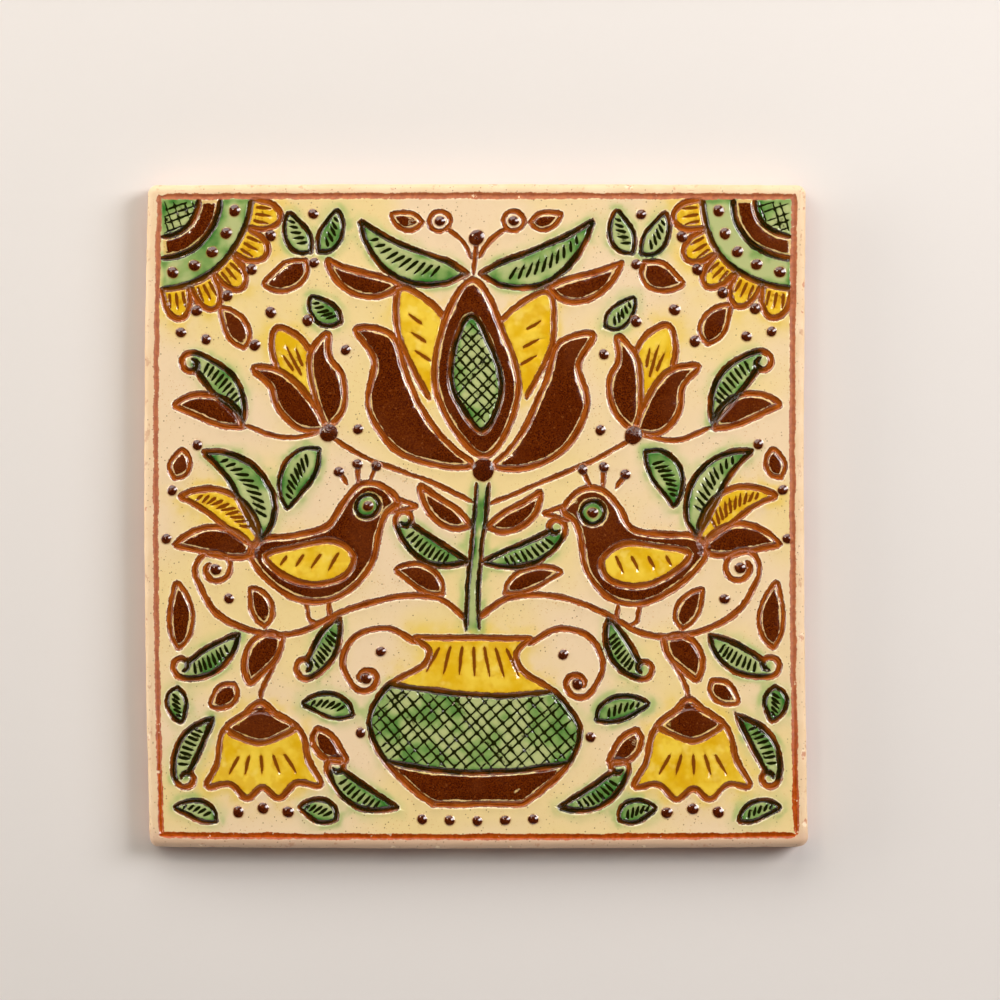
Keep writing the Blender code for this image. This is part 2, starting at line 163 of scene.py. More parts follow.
def bow(base, tip, bend, steps=8):
    """A line from base to tip that swells sideways by bend shares of its length."""
    dx, dy = tip[0] - base[0], tip[1] - base[1]
    pull = ((base[0] + tip[0]) / 2 - 2 * bend * dy, (base[1] + tip[1]) / 2 + 2 * bend * dx)
    line = []
    for i in range(steps + 1):
        t = i / steps
        line.append(tuple((1 - t) ** 2 * a + 2 * t * (1 - t) * c + t ** 2 * b
                          for a, c, b in zip(base, pull, tip)))
    return line


def normals(line):
    """The direction to the left of the line at each of its points."""
    across = []
    for i in range(len(line)):
        before, after = line[max(i - 1, 0)], line[min(i + 1, len(line) - 1)]
        length = math.dist(before, after)
        across.append(((before[1] - after[1]) / length, (after[0] - before[0]) / length))
    return across


def placed(points, x, y, side=1, angle=0.0, scale=1.0):
    """The points turned, scaled, mirrored where side is -1, and moved to x, y."""
    turn_x, turn_y = scale * math.cos(math.radians(angle)), scale * math.sin(math.radians(angle))
    return [(x + side * (px * turn_x - py * turn_y), y + px * turn_y + py * turn_x)
            for px, py in points]


def between(a, b, t):
    """The point at share t of the way from a to b."""
    return tuple(p + (q - p) * t for p, q in zip(a, b))


def mark_places(count, start, span):
    """Where the short marks of a leaf lie, in shares of its length."""
    count = round(count * MARK_DENSITY)
    return [start + span * (i + 0.5) / count for i in range(count)]


class Drawing:
    """The strokes, beads, hatching and coloured areas of the picture."""

    def __init__(self):
        self.strokes = []
        self.beads = []
        self.areas = []
        self.hatches = []

    def line(self, points, kind=OUTLINE, closed=False):
        self.strokes.append((points, kind, closed))

    def shape(self, points, colour=None, holes=(), kind=OUTLINE):
        self.line(points, kind, closed=True)
        if colour:
            self.area(points, colour, holes, kind)

    def area(self, points, colour, holes=(), kind=OUTLINE):
        self.areas.append((points, colour, holes, kind))

    def dash(self, start, end):
        self.line([start, end], DASH)

    def hatch(self, points, angle, gap):
        self.hatches.append((points, angle, gap))

    def bead(self, point, size=1.0):
        self.beads.append((point, size))

    def stalk_bead(self, start, end, size):
        self.line([start, end], STALK)
        self.bead(end, size)

    def leaf(self, base, tip, width, bend, colour, dashes=0, kind=OUTLINE):
        """A pointed leaf, widest past its middle, with short dashes along it."""
        line = bow(base, tip, bend)
        across = normals(line)
        last = len(line) - 1
        halves = [width / 2 * math.sin(math.pi * (i / last) ** 0.8) ** 0.8 for i in range(1, last)]
        inner = list(zip(line[1:last], across[1:last], halves))
        left = [(p[0] + n[0] * h, p[1] + n[1] * h) for p, n, h in inner]
        right = [(p[0] - n[0] * h, p[1] - n[1] * h) for p, n, h in inner]
        self.shape([base] + left + [tip] + right[::-1], colour, kind=kind)
        halves = [0.0] + halves + [0.0]
        for share in mark_places(dashes, 0.2, 0.65):
            place = share * last
            k = int(place)
            middle = between(line[k], line[k + 1], place - k)
            reach = 0.36 * (halves[k] + (halves[k + 1] - halves[k]) * (place - k))
            nx, ny = across[k]
            lean = (reach * (nx + 0.7 * ny), reach * (ny - 0.7 * nx))
            self.dash((middle[0] - lean[0], middle[1] - lean[1]),
                      (middle[0] + lean[0], middle[1] + lean[1]))

    def curl(self, path, radius, turns, side, kind=OUTLINE):
        """A line that winds up at its end, to the left where side is 1. Gives the curl's centre."""
        (ax, ay), (bx, by) = path[-2], path[-1]
        heading = math.atan2(by - ay, bx - ax)
        centre = (bx - side * radius * math.sin(heading), by + side * radius * math.cos(heading))
        start = math.atan2(by - centre[1], bx - centre[0])
        steps = round(turns * 12)
        wound = []
        for i in range(1, steps + 1):
            reach = radius * (1 - 0.6 * i / steps)
            turn = start + side * math.tau * turns * i / steps
            wound.append((centre[0] + reach * math.cos(turn), centre[1] + reach * math.sin(turn)))
        self.line(path + wound, kind)
        return centre

    def horn_leaf(self, base, tip, width, side, radius=1.9, dashes=7):
        """A green leaf like a horn, whose back winds up at the tip, to the left where side is 1."""
        bend = -0.22 * side
        back = bow(base, tip, bend)
        centre = self.curl(back, radius, 1.0, side)
        aim = between(base, centre, 0.93)
        inner = bow(base, aim, bend + 0.62 * side * width / math.dist(base, tip))
        self.line(inner)
        self.area(back + [between(centre, tip, -0.25)] + inner[::-1], "green")
        for share in mark_places(dashes, 0.25, 0.62):
            place = round(share * 100) / 100 * (len(back) - 1)
            j = int(place)
            a = between(back[j], back[j + 1], place - j)
            b = between(inner[j], inner[j + 1], place - j)
            self.dash(between(a, b, 0.24), between(a, b, 0.74))

    def berry(self, start, centre, radius, bend):
        """A bead in a ring, on a stalk."""
        share = radius / math.dist(start, centre)
        edge = tuple(c + (s - c) * share for s, c in zip(start, centre))
        self.line(bow(start, edge, bend, 4), STALK)
        self.shape(ring(*centre, radius), kind=STALK)
        self.bead(centre, 0.9)


# Motifs, in percent

def vase(pen):
    """The two-handled vase that the tree grows from."""
    flank = smooth([(-7.0, -45.6), (-10.5, -43), (-15, -38.5), (-16.8, -33), (-13.5, -27.6),
                    (-8.2, -24.6), (-7.2, -22.0), (-9.6, -19.6)])
    pen.shape(flank + flipped(flank[::-1], -1))
    neck_line, foot_line = (bow((-reach, height), (reach, height), -sag / (2 * reach))
                            for height, sag, reach in ((-27.2, 1.6, 13.0), (-38.8, 1.8, 15.0)))
    pen.line(neck_line)
    pen.line(foot_line)
    foot = [p for p in flank if p[1] <= -38.8]
    belly = [p for p in flank if -38.8 < p[1] < -27.2]
    neck = [p for p in flank if p[1] >= -27.2]
    body = foot_line[:1] + belly + neck_line + flipped(belly[::-1], -1) + foot_line[:0:-1]
    pen.area(body, "green")
    pen.hatch(body, 42, 1.45)
    pen.area(foot + foot_line + flipped(foot[::-1], -1), "brown")
    pen.area(neck + flipped(neck[::-1], -1) + neck_line[::-1], "yellow")
    for i in range(-3, 4):
        pen.dash((i * 1.9, -21.6), (i * 2.5, -25.4 - 0.5 * (1 - (i / 3) ** 2)))
    handle = smooth([(9.3, -20.6), (13.5, -17.8), (18.4, -18.8), (20.4, -23), (18.8, -27)])
    for side in (-1, 1):
        pen.bead(pen.curl(flipped(handle, side), 2.4, 1.0, -side))
        pen.horn_leaf((side * 12.6, -46.0), (side * 24.0, -40.4), 4.2, side, 1.7, 6)


def great_flower(pen):
    """The large flower on top of the stem."""
    heart = smooth([(0, 8.4), (-4.6, 13.4), (-7.0, 20.6), (-5.0, 28.6), (0, 36.8), (5.0, 28.6),
                    (7.0, 20.6), (4.6, 13.4)], closed=True)
    core = smooth([(0, 12.6), (-2.9, 16.4), (-4.3, 21.0), (-3.0, 26.4), (0, 31.2), (3.0, 26.4),
                   (4.3, 21.0), (2.9, 16.4)], closed=True)
    cup = smooth([(1.6, 7.0), (7.2, 7.2), (13.6, 10.6), (17.2, 17.4), (16.0, 24.0), (19.0, 29.2),
                  (13.2, 27.8), (11.2, 21.4), (8.0, 14.4), (4.4, 9.8)], closed=True)
    petal = smooth([(8.0, 18.2), (10.6, 23.4), (12.4, 28.6), (11.8, 35.4), (6.8, 33.0), (4.4, 30.4)])
    pen.shape(heart, "brown", [core])
    pen.shape(core, "green")
    pen.hatch(core, 45, 1.25)
    pen.bead((0, 6.4), 2.0)
    for side in (-1, 1):
        pen.shape(flipped(cup, side), "brown")
        pen.line(flipped(petal, side))
        pen.area(flipped(petal + [(5.2, 27.6), (6.6, 22.0)], side), "yellow")
        for i in range(3):
            pen.dash(*flipped([(7.4 + i * 0.5, 24.0 + i * 2.8), (9.8 + i * 0.3, 25.4 + i * 2.8)], side))


def flower_spray(pen):
    """The leaves, berries and bead above the large flower."""
    pen.stalk_bead((0, 37.4), (0, 43.6), 1.4)
    for side in (-1, 1):
        pen.leaf((side * 1.0, 37.6), (side * 18.6, 46.6), 5.4, side * -0.14, "green", 8)
        pen.berry((side * 0.6, 40.2), (side * 5.8, 46.4), 1.7, side * 0.1)
        pen.leaf((side * 11.6, 36.0), (side * 23.6, 40.6), 3.8, side * -0.14, "brown")


def stem(pen, side):
    """One side of the stem, with a horn leaf and a plain leaf."""
    flank = smooth([(1.1, -18.8), (0.8, -8), (0.9, 4.4)])
    pen.line(flipped(flank, side), STALK)
    pen.area(flipped(flank + [(0, 4.4), (0, -18.8)], side), "green")
    pen.horn_leaf((side * 1.0, -7.4), (side * 13.4, -2.4), 4.8, side, 1.8)
    pen.leaf((side * 1.2, -2.0), (side * 9.4, 4.0), 3.2, side * -0.12, "brown")


def scroll_branch(pen, side):
    """The low branch that the bird stands on, with the leaves under it."""
    branch = smooth([(1.2, -16.8), (5.6, -13.4), (12, -12.8), (20, -14.8), (27, -17.8),
                     (34, -18.2), (41, -15.4), (44.6, -9.6)])
    pen.bead(pen.curl(flipped(branch, side), 3.4, 1.2, side))
    pen.horn_leaf((side * 21, -15.6), (side * 26.0, -25.0), 5.0, side, dashes=6)
    pen.leaf((side * 30.4, -18.6), (side * 35.6, -26.0), 4.6, side * 0.14, "brown")
    pen.horn_leaf((side * 37.4, -18.4), (side * 46.4, -25.6), 5.0, side, dashes=6)


def tulip_branch(pen, side):
    """The high branch with a tulip and two leaves."""
    pen.line(flipped(smooth([(1.2, 1.4), (9.4, 5.2), (17.5, 9.0), (23.4, 12.6)]), side), STALK)
    pen.line(flipped(smooth([(25.4, 13.6), (31, 12.6), (37.0, 14.4)]), side), STALK)
    pen.horn_leaf((side * 37.2, 15.0), (side * 44.6, 26.0), 5.4, -side)
    pen.leaf((side * 37.6, 14.2), (side * 48.2, 17.4), 4.4, side * 0.14, "brown")
    tulip(pen, side)


def tulip(pen, side):
    """A tulip of two cup petals and a crown petal between them."""
    def put(points):
        return placed(points, side * 24.2, 13.8, side, -22, 0.80)
    cup = smooth([(0, 0), (-5.2, 2.2), (-7.6, 7.5), (-6.9, 12.2), (-8.6, 17.0), (-3.8, 14.4),
                  (-1.4, 9.6), (0, 3.4)])
    crown = smooth([(-3.9, 14.6), (-3.2, 18.6), (0, 22.5), (3.2, 18.6), (3.9, 14.6)])
    for flip in (1, -1):
        pen.shape(put(flipped(cup, flip)), "brown")
    pen.line(put(crown))
    pen.area(put([(0, 4.6), (-2.2, 9.6)] + crown + [(2.2, 9.6)]), "yellow")
    for i in (-1, 0, 1):
        pen.dash(*put([(i * 1.1, 11.5 + abs(i) * 1.5), (i * 1.5, 17.8 - abs(i) * 1.2)]))
    for point in put([(0, 25.6), (-6.0, 21.0), (6.0, 21.0)]):
        pen.bead(point)
    pen.bead(put([(0, -0.6)])[0], 1.6)


def bird(pen, side):
    """A bird with a wing, a crest and three tail feathers."""
    def put(points):
        return placed(points, side * -25.0, -5.2, side)
    body = [(12.0, 6.6), (9.2, 9.8), (5.6, 10.2), (2.9, 7.4), (0.6, 3.6), (-4.2, 2.5), (-8.8, 2.2),
            (-11.2, -0.2), (-8.2, -4.6), (-2.4, -8.0), (3.6, -7.6), (7.8, -3.4), (8.8, 1.6),
            (10.0, 5.0)]
    wing = [(5.2, -1.6), (1.8, 1.2), (-3.6, 0.6), (-8.6, -0.6), (-5.4, -4.0), (-0.6, -5.6),
            (4.0, -4.6)]
    wing = put(smooth(wing, closed=True))
    eye = (6.9, 6.4)
    socket = put(ring(*eye, 2.0))
    pen.shape(put(smooth(body, closed=True)), "brown", [wing, socket])
    pen.shape(wing, "yellow")
    pen.shape(socket, "green", kind=STALK)
    pen.bead(put([eye])[0], 0.9)
    for i in range(4):
        pen.dash(*put([(2.8 - 2.6 * i, -1.0), (1.6 - 2.5 * i, -3.5 + 0.4 * i)]))
    pen.line(put([(11.4, 7.4), (15.4, 5.8), (10.6, 5.0)]), STALK)
    crest = (((3.5, 10.4), (2.2, 12.6)), ((5.4, 10.4), (5.4, 13.6)), ((7.3, 10.4), (8.6, 13.0)))
    for root, tip in crest:
        pen.stalk_bead(*put([root, tip]), 0.9)
    for x in (-1.4, 2.2):
        pen.line(put([(x, -8.2), (x + 0.5, -11.0), (x + 2.0, -11.4)]), STALK)
    feathers = (((-9.2, 1.9), (-18.6, 15.4), -0.20, 5.2, "green", 8),
                ((-9.9, 0.9), (-22.4, 8.2), -0.18, 5.0, "yellow", 8),
                ((-10.3, -0.3), (-23.2, 0.6), -0.12, 4.6, "brown", 0))
    for root, tip, bend, width, colour, dashes in feathers:
        pen.leaf(*put([root, tip]), width, side * bend, colour, dashes)
        pen.bead(put([(tip[0] * 1.045, tip[1] + 1.0)])[0], 0.9)


def bell_flower(pen, side):
    """A hanging bell flower with a leaf on either side."""
    def put(points):
        return placed(points, side * 34.0, -38.0, side)
    skirt_half = [(-2.0, 7.6), (-6.0, 4.4), (-7.2, -0.6), (-9.2, -4.6), (-5.4, -4.0), (-2.6, -6.6)]
    skirt = skirt_half + [(0, -4.6)] + flipped(skirt_half[::-1], -1)
    cap = [(-5.4, 5.2), (-2.6, 7.2), (0, 9.4), (2.6, 7.2), (5.4, 5.2), (2.6, 3.4), (0, 2.6),
           (-2.6, 3.4)]
    cap = put(smooth(cap, closed=True))
    pen.shape(put(smooth(skirt, closed=True)), "yellow", [cap])
    pen.shape(cap, "brown")
    for x in (-4.6, -2.4, 0, 2.4, 4.6):
        pen.dash(*put([(x * 0.8, 0.4), (x * 1.15, -2.4)]))
    pen.line(put(smooth([(0, 9.6), (-0.6, 12.0), (-2.4, 15.6)])), STALK)
    for point in put([(-4.0, -8.6), (0, -8.0), (4.0, -8.6)]):
        pen.bead(point)
    pen.horn_leaf(*put([(7.4, 6.6), (14.0, -3.4)]), 4.4, -side, 1.7, 6)
    pen.leaf(*put([(-8.6, 4.6), (-13.2, -0.8)]), 3.4, side * 0.12, "brown")


def quarter_sun(pen, side):
    """Rings, beads and petals around an upper corner of the frame."""
    def around(radius, angle):
        turn = math.radians(180 + angle)
        return (side * (HALF + radius * math.cos(turn)), HALF + radius * math.sin(turn))
    inner, middle, outer = ([around(radius, 9 * i) for i in range(11)] for radius in (6.0, 9.4, 14.2))
    for line in (inner, middle, outer):
        pen.line(line)
    core = [(side * HALF, HALF)] + inner
    pen.area(core, "green")
    pen.hatch(core, 20, 1.3)
    pen.area(inner + middle[::-1], "brown")
    pen.area(middle + outer[::-1], "green")
    petals = 5
    span = 90 / petals
    for i in range(petals):
        swell = [14.2 + 5.0 * math.sin(math.pi * k / 10) ** 0.5 for k in range(11)]
        petal = [around(radius, span * (i + k / 10)) for k, radius in enumerate(swell)]
        pen.line(petal)
        pen.area(petal, "yellow")
        pen.bead(around(11.8, span * (i + 0.5)))
        for turn in (-4.0, 0, 4.0):
            middle_turn = span * (i + 0.5) + turn
            pen.dash(around(15.2, middle_turn), around(17.5, middle_turn))
    for i in range(1, petals):
        pen.bead(around(18.4, span * i))


def small_leaves(pen, side):
    """Small leaves and beads in the gaps of the picture."""
    leaves = (((25.0, 41.8), (22.2, 48.4), 3.6, 0.10, "green", 4),
              ((26.2, 41.8), (29.8, 48.0), 3.6, -0.10, "green", 4),
              ((26.8, 40.6), (33.2, 37.0), 4.2, -0.12, "brown", 0),
              ((36.8, 27.0), (40.5, 33.2), 4.0, 0.10, "brown", 0),
              ((21.0, 30.4), (25.7, 35.2), 3.6, -0.08, "green", 4),
              ((8.5, 46.2), (13.6, 47.6), 2.9, -0.08, "brown", 0),
              ((48.1, 5.9), (46.9, 10.7), 3.2, 0.08, "brown", 0),
              ((37.9, -26.0), (42.0, -29.6), 3.4, -0.08, "brown", 0),
              ((47.3, -27.0), (46.7, -32.6), 3.4, 0.08, "green", 4),
              ((22.4, -47.9), (28.4, -45.9), 3.6, 0.10, "green", 4),
              ((25.8, 11.0), (30.4, 1.6), 4.8, 0.14, "green", 6),
              ((5.0, -12.6), (13.4, -8.8), 3.7, 0.10, "brown", 0),
              ((33.4, -17.2), (36.0, -11.0), 3.6, 0.10, "brown", 0),
              ((19.4, -31.8), (27.6, -29.2), 4.0, 0.10, "green", 5),
              ((47.1, -21.0), (47.6, -10.2), 3.9, 0.06, "brown", 0),
              ((41.4, -48.2), (48.2, -46.0), 3.0, 0.12, "green", 4))
    for base, tip, width, bend, colour, dashes in leaves:
        (bx, by), (tx, ty) = base, tip
        pen.leaf((side * bx, by), (side * tx, ty), width, side * bend, colour, dashes, STALK)
    for x, y in ((25.6, 40.2), (46.8, 29.0), (4.4, -48.1), (8.8, -47.9), (18.4, -34.6), (20.3, 25.8),
                 (19.0, 13.8), (14.4, -21.6), (26.0, 47.6), (39.3, -12.8), (42.8, 28.2)):
        pen.bead((side * x, y), 0.9)


def picture():
    """The whole drawing."""
    pen = Drawing()
    vase(pen)
    great_flower(pen)
    flower_spray(pen)
    for side in (-1, 1):
        for motif in (stem, scroll_branch, tulip_branch, bird, bell_flower, quarter_sun):
            motif(pen, side)
    for side in (-1, 1):
        small_leaves(pen, side)
    pen.bead((0, -48.2), 0.9)
    return pen


# From the drawing to the clay, in millimetres

def on_clay(points):
    """Drawn points on the clay, moved a little as a hand does."""
    x, y = np.array(points, float).T
    room = 1 - np.minimum(1, np.maximum(abs(x), abs(y)) / HALF) ** 4
    x_drift = 0.7 * np.sin(0.11 * y + 0.9) + 0.35 * np.sin(0.23 * x + 0.16 * y)
    y_drift = 0.6 * np.sin(0.10 * x + 2.1) + 0.35 * np.sin(0.21 * y - 0.13 * x)
    return np.column_stack(((x + room * x_drift) * PICTURE_WIDTH / (2 * HALF),
                            (y + room * y_drift) * PICTURE_HEIGHT / (2 * HALF)))


def resampled(line, step):
    """The line with its points about one step apart, its kinks a little rounded."""
    lengths = np.hypot(*np.diff(line, axis=0).T)
    run = np.concatenate(([0], np.cumsum(lengths)))
    count = max(2, round(run[-1] / step) + 1)
    places = np.linspace(0, run[-1], count)
    even = np.column_stack([np.interp(places, run, line[:, axis]) for axis in (0, 1)])
    even[1:-1] = (even[:-2] + 2 * even[1:-1] + even[2:]) / 4
    return even


def left_of(line):
    """The unit direction to the left of the line at each point."""
    along = np.gradient(line, axis=0)
    along /= np.hypot(*along.T)[:, None]
    return np.column_stack((-along[:, 1], along[:, 0]))


def waves(x, y, length, seed):
    """A smooth field of about -1 to 1 with features of about the given length."""
    rng = np.random.default_rng(seed)
    total = 0
    for turn, phase, pitch in rng.uniform((0, 0, 0.7), (math.tau, math.tau, 1.4), (7, 3)):
        along = x * math.cos(turn) + y * math.sin(turn)
        total = total + np.sin(along * math.tau * pitch / length + phase)
    return total / 3.5


def wavering(run, parts, seed, total=0):
    """The total and waves along a line, each with a strength and a length."""
    for i, (strength, length) in enumerate(parts):
        total = total + strength * waves(run, 0 * run, length, seed + i)
    return total


class Stroke:
    """One cut line on the clay, with its half width and depth at each point."""

    def __init__(self, line, kind, number, family, step):
        width, depth = kind
        self.family, self.step = family, step
        self.line = resampled(line, step)
        run = np.arange(len(self.line)) * step
        self.start = RUN_SHIFT * number
        self.line += left_of(self.line) * wavering(run, SHAKE, number)[:, None]
        press = wavering(run, HATCH_PRESS if kind == HATCH else PRESS, number + 2, 1)
        if not np.allclose(line[0], line[-1]):
            ends = np.minimum(run, run[-1] - run)
            press = press * (0.5 + 0.5 * np.minimum(1, ends / END_TAPER) ** 0.7)
        self.half = width / 2 * press
        self.depth = depth * press
        self.across = left_of(self.line)
        self.wall = WALLS[family]
        self.lip = {HATCH: 0.0, DASH: 0.35}.get(kind, 0.3 if family == "border" else 1.0)

    def rows(self, share, beyond=0.0):
        """Points on both sides of the stroke, at a share of its half width and a length beyond."""
        reach = self.across * (share * self.half + beyond)[:, None]
        return [self.line + reach, self.line - reach] if share else [self.line]

    def heights(self, segment, share, distance):
        """Half width, cut height and burr height at shares along segments, that far from the line."""
        half, depth = (value[segment] * (1 - share) + value[segment + 1] * share
                       for value in (self.half, self.depth))
        u = distance / half
        cut = -depth * (1 - FLOOR_RISE * np.minimum(u, 1) ** 2) * (1 - eased(u, *self.wall))
        beside = (distance - half - BURR_OFFSET) / BURR_WIDTH
        return half, cut, BURR_HEIGHT * self.lip * np.exp(-beside ** 2)


def all_strokes(drawing):
    """Every stroke of the drawing, its hatching and its frame."""
    strokes = []
    for number, (points, kind, closed) in enumerate(drawing.strokes):
        line = on_clay(points + points[:1] if closed else points)
        if kind == DASH:
            strokes.append(dash_stroke(line, number))
        else:
            strokes.append(Stroke(line, kind, number, "outline", LINE_STEP))
    for points, angle, gap in drawing.hatches:
        strokes += hatching(on_clay(points), angle, gap * PICTURE_WIDTH / (2 * HALF), len(strokes))
    for side in range(4):
        line = side_line(side, BORDER_INSET, BORDER_OVERRUNS[side])
        kind = (BORDER_WIDTHS[side], BORDER_DEPTH)
        strokes.append(Stroke(line, kind, BORDER_NUMBER + side, "border", LINE_STEP))
    return strokes


def dash_stroke(line, number):
    """A short mark that starts full and runs out to a point."""
    dash = Stroke(line, DASH, number, "fine", DASH_STEP)
    share = np.linspace(0, 1, len(dash.line))
    swell = np.sin(math.pi * (0.12 + 0.83 * share) ** 0.75) ** 0.7
    dash.half = DASH[0] / 2 * (0.25 + 0.8 * swell)
    dash.depth = DASH[1] * (0.35 + 0.65 * swell)
    return dash


def hatching(outline, angle, gap, number):
    """Two sets of crossed hand-drawn lines that fill the outline."""
    strokes = []
    rng = np.random.default_rng(number)
    centre = outline.mean(axis=0)
    reach = np.hypot(*(outline - centre).T).max()
    for turn in (angle, angle + HATCH_TURN):
        along = np.array((math.cos(math.radians(turn)), math.sin(math.radians(turn))))
        across = np.array((-along[1], along[0]))
        for offset in np.arange(-reach, reach, gap):
            offset += rng.uniform(-HATCH_STRAY, HATCH_STRAY) * gap
            run = np.arange(-reach, reach, HATCH_LINE_STEP)
            sag = 0.25 * math.sin(offset) + 0.004 * run
            aside = offset + sag * np.cos(run * 0.09)
            line = centre + run[:, None] * along + aside[:, None] * across
            inside = signed_distance(line, outline) > rng.uniform(*HATCH_CLEARANCE)
            edges = np.flatnonzero(np.diff(np.concatenate(([0], inside, [0]))))
            for first, last in zip(edges[::2], edges[1::2]):
                if last - first > HATCH_LEAST:
                    strokes.append(Stroke(line[first:last], HATCH, number + len(strokes), "fine",
                                          HATCH_STROKE_STEP))
    return strokes


def from_segments(points, starts, ends):
    """For each point, its distance to every segment and its share of the way along each."""
    along = ends - starts
    to = points[:, None] - starts
    share = np.clip((to * along).sum(axis=2) / np.maximum((along ** 2).sum(axis=1), 1e-9), 0, 1)
    gap = to - share[..., None] * along
    return np.hypot(gap[..., 0], gap[..., 1]), share


def nearest_on(line, points):
    """For each point, its distance to the line, the nearest segment, and the share along that."""
    distance, share = from_segments(points, line[:-1], line[1:])
    best = distance.argmin(axis=1)
    row = np.arange(len(points))
    return distance[row, best], best, share[row, best]


def signed_distance(points, outline):
    """Each point's distance to the closed outline, positive inside."""
    starts, ends = outline, np.roll(outline, -1, axis=0)
    distance = from_segments(points, starts, ends)[0].min(axis=1)
    x, y = points[:, :1], points[:, 1:]
    over = (starts[:, 1] > y) != (ends[:, 1] > y)
    rise = np.where(ends[:, 1] == starts[:, 1], 1, ends[:, 1] - starts[:, 1])
    crosses = over & (x < (ends[:, 0] - starts[:, 0]) * (y - starts[:, 1]) / rise + starts[:, 0])
    return np.where(crosses.sum(axis=1) % 2 == 1, distance, -distance)


class Places:
    """Points of the face, sorted so that those near a stroke or an area are found fast."""

    def __init__(self, points):
        self.points = points
        self.order = np.argsort(points[:, 0])
        self.x = points[self.order, 0]
        self.y = points[self.order, 1]

    def near(self, low, high):
        """The numbers of the points in a box."""
        first, last = np.searchsorted(self.x, (low[0], high[0]))
        y = self.y[first:last]
        return self.order[first:last][(y > low[1]) & (y < high[1])]


def stroke_values(places, strokes):
    """Groove and burr heights, and how deep inside a stroke of each family the points lie."""
    count = len(places.points)
    values = {family: np.full(count, UNTOUCHED) for family in ("outline", "fine", "border")}
    values["run"], values["across"] = np.zeros(count), np.zeros(count)
    groove, burr = np.zeros(count), np.zeros(count)
    reach, piece = 2.0, 12
    for stroke in strokes:
        for first in range(0, len(stroke.line) - 1, piece):
            line = stroke.line[first:first + piece + 1]
            near = places.near(line.min(axis=0) - reach, line.max(axis=0) + reach)
            if not len(near):
                continue
            distance, best, share = nearest_on(line, places.points[near])
            best = best + first
            half, cut, lip = stroke.heights(best, share, distance)
            groove[near] = np.minimum(groove[near], cut)
            burr[near] = np.maximum(burr[near], lip)
            nearer = half - distance > values[stroke.family][near]
            values[stroke.family][near[nearer]] = (half - distance)[nearer]
            if stroke.family == "outline":
                away = places.points[near[nearer]] - stroke.line[best[nearer]]
                side = np.sign((stroke.across[best[nearer]] * away).sum(axis=1))
                values["across"][near[nearer]] = side * distance[nearer]
                values["run"][near[nearer]] = stroke.start + (best + share)[nearer] * stroke.step
    return values, groove, burr


def area_distance(places, areas, colour, margin):
    """How far inside the areas of one colour the points lie; negative outside them."""
    inside = np.full(len(places.points), -margin)
    for points, area_colour, holes, kind in areas:
        if area_colour != colour:
            continue
        outline = resampled(on_clay(points + points[:1]), 1.2)[:-1]
        near = places.near(outline.min(axis=0) - margin, outline.max(axis=0) + margin)
        distance = signed_distance(places.points[near], outline)
        for hole in holes:
            beyond = signed_distance(places.points[near], on_clay(hole))
            distance = np.minimum(distance, HOLE_SWELL - beyond)
        # The slip comes as close to a thin line as to a thick one
        inside[near] = np.maximum(inside[near], distance + (OUTLINE[0] - kind[0]) / 2)
    return inside


def bead_values(places, beads):
    """Dome heights, and how far inside a bead the points lie."""
    height = np.zeros(len(places.points))
    inside = np.full(len(places.points), UNTOUCHED)
    for number, (point, size) in enumerate(beads):
        centre = on_clay([point])[0]
        radius = BEAD_RADIUS * size
        near = places.near(centre - radius - 2, centre + radius + 2)
        dx, dy = (places.points[near] - centre).T
        bulge = 1 + BEAD_BULGE * np.sin(2 * np.arctan2(dy, dx) + number)
        distance = np.hypot(dx, dy) * bulge
        share = np.clip(distance / (radius * BEAD_SPREAD), 0, 1)
        height[near] = np.maximum(height[near], BEAD_RISE * (1 - share ** 1.7))
        inside[near] = np.maximum(inside[near], radius - distance)
    return height, inside


def eased(value, low, high):
    """A smooth step from 0 at low to 1 at high."""
    share = np.clip((value - low) / (high - low), 0, 1)
    return share * share * (3 - 2 * share)


# Slab outline, in millimetres

def corners(inset):
    """The corners of the tile, or of a line inside it, from the lower left and anticlockwise."""
    half_width, half_height = TILE_WIDTH / 2 - inset, TILE_HEIGHT / 2 - inset
    return np.array([(-half_width + LOWER_SHIFT, -half_height), (half_width + LOWER_SHIFT, -half_height),
                     (half_width, half_height), (-half_width, half_height)])


def side_line(side, inset, overruns=(0, 0), steps=40):
    """Points along one side of the tile, or along a line inside it; side counts from the bottom."""
    around = corners(inset)
    start, end = around[side], around[(side + 1) % 4]
    length = math.dist(start, end)
    along = (end - start) / length
    outwards = np.array((along[1], -along[0]))
    share = np.linspace(0, 1, steps + 1)[:, None]
    run = -overruns[0] + (length + overruns[0] + overruns[1]) * share
    return start + run * along + BOWS[side] * (1 - (2 * share - 1) ** 2) * outwards


def edge_distance(points):
    """How far inside the tile's edge the points lie."""
    around = corners(0)
    nearest = np.full(len(points), np.inf)
    for side in range(4):
        start, end = around[side], around[(side + 1) % 4]
        length = math.dist(start, end)
        along = (end - start) / length
        to = points - start
        share = to @ along / length
        inwards = to @ np.array((-along[1], along[0]))
        nearest = np.minimum(nearest, inwards + BOWS[side] * (1 - (2 * share - 1) ** 2))
    return nearest


